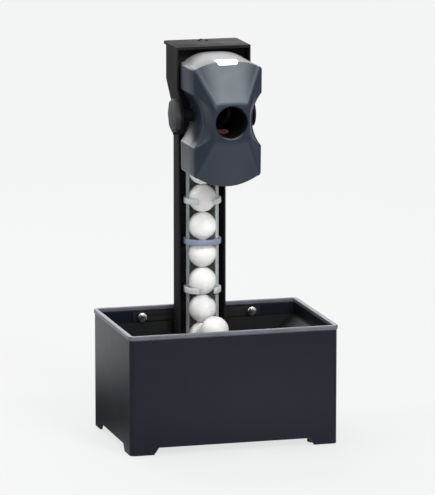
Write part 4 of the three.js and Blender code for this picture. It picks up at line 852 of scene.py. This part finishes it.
def screw_model():
    """A pan-head screw with a recess, its seat at the origin"""
    mesh = to_mesh(lathe(SCREW_PROFILE, SCREW_STEPS, False), "screw_model")
    mesh.polygons.foreach_set("use_smooth", [True] * len(mesh.polygons))
    return bpy.data.objects.new("screw_model", mesh)


def screws(name, spots, facing, body, slot, seed, size):
    """Screws at the given places, all facing one way"""
    points = bpy.data.meshes.new(f"{name}_spots")
    points.from_pydata(spots, [], [])
    ways = points.attributes.new("facing", "FLOAT_VECTOR", "POINT")
    for way in ways.data:
        way.vector = facing
    mesh = grown_mesh(name, fittings, {"Fitting": screw, "Turn": FULL_TURN, "Seed": seed,
                                       "Size": size, "Finish": finishes[slot]}, points)
    as_piece(name, mesh, body, slot)


# The bin

def rounded_rectangle(half_width, half_depth, radius, steps):
    points = []
    for quarter, (sx, sy) in enumerate(((1, 1), (-1, 1), (-1, -1), (1, -1))):
        middle = (sx * (half_width - radius), sy * (half_depth - radius))
        points += quarter_turn(middle, radius, quarter, steps)
    return points


def bin_ring(inset, height):
    """The bin's outline drawn in by an inset, at one height"""
    radius = max(BIN_CORNER - inset, RIM_ROUND)
    outline = rounded_rectangle(BIN_HALF_WIDTH - inset, BIN_HALF_DEPTH - inset, radius,
                                BIN_CORNER_STEPS)
    return [Vector((x, y, height)) for x, y in outline]


def arch_outline(length):
    """The arch under one side of the skirt, carried on below it"""
    foot = length / 2 - ARCH_FOOT
    top = foot - ARCH_SLANT
    return [(-foot, -CUT_CLEAR), (foot, -CUT_CLEAR), (foot, SKIRT_LOW), (top, ARCH_TOP),
            (-top, ARCH_TOP), (-foot, SKIRT_LOW)]


def box_outline(left, right, low, high):
    return [(left, low), (right, low), (right, high), (left, high)]


def make_bin():
    """The moulded bin: a thin wall with a rolled rim, and corners turned finely"""
    inner = RIM_OVERHANG + BIN_WALL
    lip = inner + RIM_OVERHANG
    profile = [(RIM_OVERHANG, SKIRT_LOW), (RIM_OVERHANG, RIM_UNDERSIDE),
               (0, RIM_UNDERSIDE + RIM_OVERHANG)]
    for start, middle in ((0, RIM_ROUND), (1, lip - RIM_ROUND)):
        for i in range(RIM_STEPS + 1):
            angle = math.pi / 2 * (start + i / RIM_STEPS)
            profile.append((middle - RIM_ROUND * math.cos(angle),
                            BIN_HEIGHT - RIM_ROUND + RIM_ROUND * math.sin(angle)))
    under = TRAY_LEDGE - TRAY_LEDGE_THICKNESS
    over = BASE_LEDGE + BASE_LEDGE_THICKNESS
    tray_reach, base_reach = inner + TRAY_LEDGE_REACH, inner + BASE_LEDGE_REACH
    profile += [(lip, RIM_UNDERSIDE + RIM_OVERHANG), (inner, RIM_UNDERSIDE), (inner, TRAY_LEDGE),
                (tray_reach, TRAY_LEDGE), (tray_reach, under), (inner, under - TRAY_LEDGE_REACH),
                (inner, over), (base_reach, over), (base_reach, BASE_LEDGE), (inner, BASE_LEDGE),
                (inner, SKIRT_LOW)]
    wall = loft([bin_ring(inset, height) for inset, height in profile], True)

    outside = BIN_HALF_DEPTH + CUT_CLEAR
    back_wall = (BIN_HALF_DEPTH - inner - CUT_CLEAR, outside)
    width, depth = 2 * BIN_HALF_WIDTH, 2 * BIN_HALF_DEPTH
    mast_room = box_outline(-MAST_NOTCH_HALF, MAST_NOTCH_HALF, 0.0, BIN_HALF_DEPTH - inner)
    switch_hole = box_outline(SWITCH_SIDE - SWITCH_HALF_WIDTH, SWITCH_SIDE + SWITCH_HALF_WIDTH,
                              SOCKET_HEIGHT - SWITCH_HALF_HEIGHT,
                              SOCKET_HEIGHT + SWITCH_HALF_HEIGHT)
    cuts = [prism(arch_outline(width), "Y", -depth, depth),
            prism(arch_outline(depth), "X", -width, width),
            prism(mast_room, "Z", PLATE_UNDERSIDE, RIM_UNDERSIDE),
            prism(circle_points(INLET_HOLE, (INLET_SIDE, SOCKET_HEIGHT), INLET_STEPS), "Y",
                  *back_wall),
            prism(switch_hole, "Y", *back_wall)]
    for side in (-THUMB_BOLT_SIDE, THUMB_BOLT_SIDE):
        hole = circle_points(THUMB_BOLT_HOLE, (side, THUMB_BOLT_HEIGHT), BOLT_STEPS)
        cuts.append(prism(hole, "Y", BOLT_CUT_FRONT, outside))
    moulding = combined("bin_moulding", wall, [("DIFFERENCE", tool) for tool in cuts])
    as_moulding("bin_moulding", moulding, "base", "bin", "bin_shell")


# The hopper

def tray_bearings():
    """Bearings about the well's middle: even ones, and one to each corner of the tray"""
    even = [2 * math.pi * i / WELL_STEPS - math.pi for i in range(WELL_STEPS)]
    corners = [math.atan2(sy * TRAY_END - WELL_BACK, sx * TRAY_SIDE)
               for sx in (-1, 1) for sy in (-1, 1)]
    return sorted(even + corners)


def well_circle(radius, height):
    return [Vector((radius * math.cos(a), WELL_BACK + radius * math.sin(a), height))
            for a in tray_bearings()]


def tray_edge(inset, height):
    """The tray's rectangle, drawn in by an inset, on the same bearings as the well's circles"""
    points = []
    for angle in tray_bearings():
        across, along = math.cos(angle), math.sin(angle)
        room = TRAY_END - inset - math.copysign(WELL_BACK, along)
        reach = min((TRAY_SIDE - inset) / max(abs(across), 1e-6), room / max(abs(along), 1e-6))
        points.append(Vector((reach * across, WELL_BACK + reach * along, height)))
    return points


def make_tray():
    """The tray that slopes from the bin's walls to the well, with room for the mast"""
    brim = tray_edge(TRAY_BRIM, TRAY_RIM)
    seat = well_circle(REBATE_RADIUS, WELL_EDGE)
    slope = loft([
        well_circle(LIP_RADIUS, LIP_TOP), well_circle(REBATE_RADIUS, LIP_TOP), seat,
        *steps_between(seat, brim, SLOPE_STEPS), brim, tray_edge(0, TRAY_RIM),
        tray_edge(0, TRAY_LEDGE), tray_edge(TRAY_SEAT, TRAY_LEDGE),
        well_circle(REBATE_RADIUS + TRAY_THICKNESS, LIP_TOP - TRAY_THICKNESS),
        well_circle(LIP_RADIUS, LIP_TOP - TRAY_THICKNESS)], True)
    outline = prism(rounded_rectangle(TRAY_SIDE, TRAY_END, TRAY_CORNER, TRAY_CORNER_STEPS),
                    "Z", TRAY_CUT_LOW, TRAY_CUT_TOP)
    notch = prism(box_outline(-MAST_NOTCH_HALF, MAST_NOTCH_HALF, COLUMN_BACK, NOTCH_CUT_BACK),
                  "Z", MAST_NOTCH_LOW, TRAY_CUT_TOP)
    tray = combined("tray_moulding", slope, [("INTERSECT", outline), ("DIFFERENCE", notch)])
    as_moulding("tray_moulding", tray, "base", "inner_black", "hopper_tray")


def make_well():
    """The cup that hangs by its flange in the tray"""
    under = WELL_FLOOR - TRAY_THICKNESS
    outer = WELL_RADIUS + TRAY_THICKNESS
    cup = lathe([(SHAFT_HOLE, WELL_FLOOR), (WELL_RADIUS - WELL_ROUND, WELL_FLOOR),
                 (WELL_RADIUS - WELL_ROUND_MIDDLE, WELL_FLOOR + WELL_ROUND_MIDDLE),
                 (WELL_RADIUS, WELL_FLOOR + WELL_ROUND), (WELL_RADIUS, WELL_EDGE),
                 (WELL_FLANGE, WELL_EDGE), (WELL_FLANGE, WELL_EDGE - TRAY_THICKNESS),
                 (outer, WELL_EDGE - TRAY_THICKNESS), (outer, under + WELL_ROUND),
                 (WELL_RADIUS - WELL_ROUND, under), (SHAFT_HOLE, under)], WELL_STEPS)
    mesh = to_mesh(cup, "well_moulding", Matrix.Translation((0, WELL_BACK, 0)))
    as_moulding("well_moulding", mesh, "base", "inner_black", "feed_well")


def make_disc():
    """The disc that carries the balls round in its pockets, with its hub dome and its shaft"""
    foot = math.asin((DISC_TOP - DOME_MIDDLE) / DOME_RADIUS)
    dome = [(DOME_RADIUS * math.cos(a), DOME_MIDDLE + DOME_RADIUS * math.sin(a))
            for a in spread(foot, math.pi / 2, DOME_STEPS)][:-1]
    plate = lathe([(0, FEED_SHAFT_LOW), (FEED_SHAFT, FEED_SHAFT_LOW), (FEED_SHAFT, DISC_UNDERSIDE),
                   (DISC_RADIUS, DISC_UNDERSIDE), (DISC_RADIUS, DISC_TOP), *dome,
                   (0, DOME_MIDDLE + DOME_RADIUS)], WELL_STEPS, False)
    bmesh.ops.translate(plate, verts=plate.verts, vec=(0, WELL_BACK, 0))
    pockets = [prism(circle_points(POCKET_RADIUS, middle, POCKET_STEPS), "Z", *POCKET_CUT)
               for middle in circle_points(POCKET_CIRCLE, (0, WELL_BACK), POCKET_COUNT)]
    mesh = combined("disc_moulding", plate, [("DIFFERENCE", tool) for tool in pockets])
    as_moulding("disc_moulding", mesh, "feed_wheel", "disc_black", "feed_disc")


# The head

def waisted_half(height):
    """Half the head's width at a height: it narrows downwards and is drawn in at the pivot"""
    share = min(1.0, max(0.0, (HEAD_SHOULDER - height) / (HEAD_SHOULDER - HEAD_CHIN)))
    plain = HEAD_HALF - HEAD_NARROWING * share
    off = height - THROW_HEIGHT
    if abs(off) >= WAIST_HALF:
        return plain
    radius = (WAIST_HALF ** 2 + WAIST_DEPTH ** 2) / (2 * WAIST_DEPTH)
    return plain - (math.sqrt(radius ** 2 - off ** 2) - (radius - WAIST_DEPTH))


def spread(low, high, steps):
    return [low + (high - low) * i / steps for i in range(steps + 1)]


def corner_points(middle, radius, quarter):
    """The points of one of the head's corners, without its ends"""
    return quarter_turn(middle, radius, quarter, CORNER_STEPS)[1:-1]


def head_ring(depth, inset):
    """The head's outline at one depth, drawn in by an inset: right side, top, left side, bottom"""
    share = min(1.0, max(0.0, (depth - HEAD_FRONT) / (TILT_BACK - HEAD_FRONT)))
    crown = CROWN_FRONT + (CROWN_REAR - CROWN_FRONT) * share
    top, low = HEAD_SHOULDER - inset, HEAD_CHIN + inset
    radius = max(HEAD_CORNER - inset / 2, HEAD_CORNER_LEAST)
    high_side, low_side = top - radius, low + radius
    high_half, low_half = waisted_half(high_side) - inset, waisted_half(low_side) - inset
    waist = spread(THROW_HEIGHT - WAIST_HALF, THROW_HEIGHT + WAIST_HALF, SIDE_STEPS - 2)
    side = [low_side, *waist, high_side]
    points = [(waisted_half(z) - inset, z) for z in side]
    points += corner_points((high_half - radius, high_side), radius, 0)
    points += [(a * (high_half - radius), top + crown * (1 - abs(a) ** 3))
               for a in spread(1, -1, CAP_STEPS)]
    points += corner_points((radius - high_half, high_side), radius, 1)
    points += [(inset - waisted_half(z), z) for z in reversed(side)]
    points += corner_points((radius - low_half, low_side), radius, 2)
    points += [(a * (low_half - radius), low - CHIN_ARCH * (1 - a * a))
               for a in spread(-1, 1, CAP_STEPS)]
    points += corner_points((low_half - radius, low_side), radius, 3)
    return [Vector((x, depth, z)) for x, z in points]


def nose_ring(depth):
    """The rounded square at the front of the nose, point for point with the head's outline"""
    straight = NOSE_HALF - NOSE_CORNER
    points = []
    for quarter, steps in enumerate((SIDE_STEPS, CAP_STEPS, SIDE_STEPS, CAP_STEPS)):
        side = [(NOSE_HALF, z) for z in spread(-straight, straight, steps)]
        side += corner_points((straight, straight), NOSE_CORNER, 0)
        for _ in range(quarter):
            side = [(-z, x) for x, z in side]
        points += side
    return [Vector((x, depth, THROW_HEIGHT + z)) for x, z in points]


def bore_ring(depth, radius):
    """A circle about the throwing axis, point for point with the head's outline"""
    angles = [math.atan2(point.z - THROW_HEIGHT, point.x) for point in nose_ring(depth)]
    return [Vector((radius * math.cos(a), depth, THROW_HEIGHT + radius * math.sin(a)))
            for a in angles]


def nose_skin():
    """The outside of the front shell, from the split to the nose: flat facets in fine rows"""
    brim = head_ring(HEAD_FRONT, FRONT_ROUND)
    tip = nose_ring(NOSE_FRONT)
    return [head_ring(TILT_BACK, 0), head_ring((TILT_BACK + HEAD_FRONT) / 2, 0),
            head_ring(HEAD_FRONT + FRONT_ROUND, 0),
            head_ring(HEAD_FRONT + FRONT_ROUND_MIDDLE, FRONT_ROUND_MIDDLE), brim,
            *steps_between(brim, tip, FACET_STEPS), tip]


def lens_prism(gap):
    """The lens's outline through the skin, widened by a gap for the seat that it leaves"""
    top, bottom = LENS_TOP_HALF + 2 * gap, LENS_BOTTOM_HALF + 2 * gap
    return prism([(-top, LENS_TOP + gap), (-bottom, LENS_LOW - gap), (bottom, LENS_LOW - gap),
                  (top, LENS_TOP + gap)], "Y", HEAD_FRONT - CUT_CLEAR, LENS_BACK + gap)


def trunnion_cutter():
    hole = circle_points(TRUNNION_HOLE, (TILT_BACK, THROW_HEIGHT), TRUNNION_STEPS)
    return prism(hole, "X", *TRUNNION_CUT)


def make_head_shells():
    """The two moulded shells of the head, and the white lens let into the nose"""
    inner = [bore_ring(NOSE_FRONT, NOZZLE_RADIUS + NOZZLE_CHAMFER),
             bore_ring(NOSE_FRONT + NOZZLE_CHAMFER, NOZZLE_RADIUS),
             bore_ring(NOSE_SEAT, NOZZLE_RADIUS), bore_ring(NOSE_SEAT, BARREL_SEAT),
             head_ring(HEAD_FRONT + HEAD_WALL, HEAD_WALL + FRONT_ROUND),
             head_ring(HEAD_FRONT + HEAD_WALL + FRONT_ROUND, HEAD_WALL),
             head_ring(TILT_BACK, HEAD_WALL)]
    front = combined("head_front_moulding", loft([*nose_skin(), *inner], True),
                     [("DIFFERENCE", lens_prism(SEAT_GAP)), ("DIFFERENCE", trunnion_cutter())])
    as_moulding("head_front_moulding", front, "head", "head", "head_front_shell")
    lens = combined("nose_lens", loft(nose_skin()), [("INTERSECT", lens_prism(0))])
    as_moulding("nose_lens", lens, "head", "lens_white", "status_lens")

    split = TILT_BACK + SEAT_GAP
    shoulder = HEAD_REAR - REAR_ROUND
    outside = [head_ring(split, 0), head_ring(shoulder, 0)]
    inside = [head_ring(split, HEAD_WALL)]
    for angle in spread(0, math.pi / 2, REAR_ROUND_STEPS)[1:]:
        fall, draw = REAR_ROUND * math.sin(angle), REAR_ROUND * (1 - math.cos(angle))
        outside.append(head_ring(shoulder + fall, draw))
        inside.insert(0, head_ring(shoulder - HEAD_WALL + fall, draw + REAR_ROUND_WALL))
    hole = [bore_ring(HEAD_REAR, REAR_INLET + INLET_CHAMFER),
            bore_ring(HEAD_REAR - INLET_CHAMFER, REAR_INLET),
            bore_ring(HEAD_REAR - HEAD_WALL, REAR_INLET)]
    rear = combined("head_rear_moulding", loft([*outside, *hole, *inside], True),
                    [("DIFFERENCE", trunnion_cutter())])
    as_moulding("head_rear_moulding", rear, "head", "head", "head_rear_shell")


# Tube, balls and fittings

def make_tube():
    """The clear tube, with its two ends lightly rounded"""
    low, high = TUBE_BOTTOM + TUBE_LIP, TUBE_TOP - TUBE_LIP
    inner, outer = TUBE_INNER + TUBE_LIP, TUBE_OUTER - TUBE_LIP
    wall = lathe([(TUBE_INNER, low), (inner, TUBE_BOTTOM), (outer, TUBE_BOTTOM), (TUBE_OUTER, low),
                  (TUBE_OUTER, high), (outer, TUBE_TOP), (inner, TUBE_TOP), (TUBE_INNER, high)],
                 TUBE_STEPS)
    mesh = to_mesh(wall, "tube_wall", Matrix.Translation((0, COLUMN_BACK, 0)))
    as_piece("tube_wall", mesh, "base", "clear_tube", ["ball_tube"])


def balls(name, count, lowest, seed, body, nodes):
    mesh = grown_mesh(name, ball_columns, {
        "Ball Radius": BALL_RADIUS, "Pitch": (0, 0, BALL_PITCH), "Count": count,
        "Lowest": lowest, "Seed": seed, "Finish": finishes["ball"]})
    as_piece(name, mesh, body, "ball", nodes, 0)


def make_balls():
    """The column in the tube, and the ball that lies in the bin in front of it"""
    balls("ball_column", BALL_COUNT, (0, COLUMN_BACK, LOWEST_BALL), 4, "ball_stack",
          [f"ball_{i + 1}" for i in range(BALL_COUNT)])
    low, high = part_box("loose_ball")
    middle = [(low[i] + high[i]) / 2 for i in range(3)]
    balls("loose_ball_skin", 1, middle, 9, "base", ["loose_ball"])


def make_fittings():
    """Screw heads where one piece is fastened to another, and the grips of the thumb bolts"""
    back, up, down = (0, 1, 0), (0, 0, 1), (0, 0, -1)
    rear = [(sx * side, HEAD_REAR, height) for sx in (-1, 1) for side, height in REAR_SCREWS]
    screws("rear_shell_screws", rear, back, "head", "motor_steel", seed=3, size=1.0)
    web = [(side, MAST_BACK, height) for side, height in MAST_SCREWS]
    screws("mast_screws", web, back, "base", "motor_steel", seed=7, size=1.0)
    plate = [(sx * side, sy * depth, PLATE_UNDERSIDE)
             for side, depth in PLATE_SCREWS for sx in (-1, 1) for sy in (-1, 1)]
    screws("base_plate_screws", plate, down, "base", "motor_steel", seed=5, size=0.85)
    flange = [(x, FLANGE_BACK, z) for x, z in
              circle_points(FLANGE_SCREW_CIRCLE, (0, THROW_HEIGHT), 4, math.pi / 4)]
    screws("elbow_screws", flange, back, "yoke", "motor_steel", seed=11, size=0.85)
    hanger = [(x, y, YOKE_TOP) for x, y in
              circle_points(HANGER_SCREW_CIRCLE, (0, COLUMN_BACK), 3, math.pi / 2)]
    screws("yoke_top_screws", hanger, up, "yoke", "mast", seed=13, size=0.8)
    for hand in ("left", "right"):
        low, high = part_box(f"thumb_bolt_{hand}")
        name = f"thumb_bolt_grip_{hand}"
        mesh = grown_mesh(name, rib_rings, {
            "Radius": GRIP_RADIUS, "Count": GRIP_RIBS, "Rib Size": GRIP_RIB_SIZE,
            "Finish": finishes["bright_steel"]})
        middle = ((low[0] + high[0]) / 2, low[1] + GRIP_BACK, (low[2] + high[2]) / 2)
        mesh.transform(Matrix.Translation(middle) @ Matrix.Rotation(math.pi / 2, 4, "X"))
        as_piece(name, mesh, "base", "bright_steel")


# The robot

add_camera()
add_world()
add_floor()
add_lamps()

fittings = fastener_tree()
rib_rings = rib_ring_tree()
ball_columns = ball_column_tree()
screw = screw_model()

for node, edge in EDGES.items():
    rounded_piece(node, edge)
make_bin()
make_tray()
make_well()
make_disc()
make_head_shells()
make_tube()
make_balls()
make_fittings()
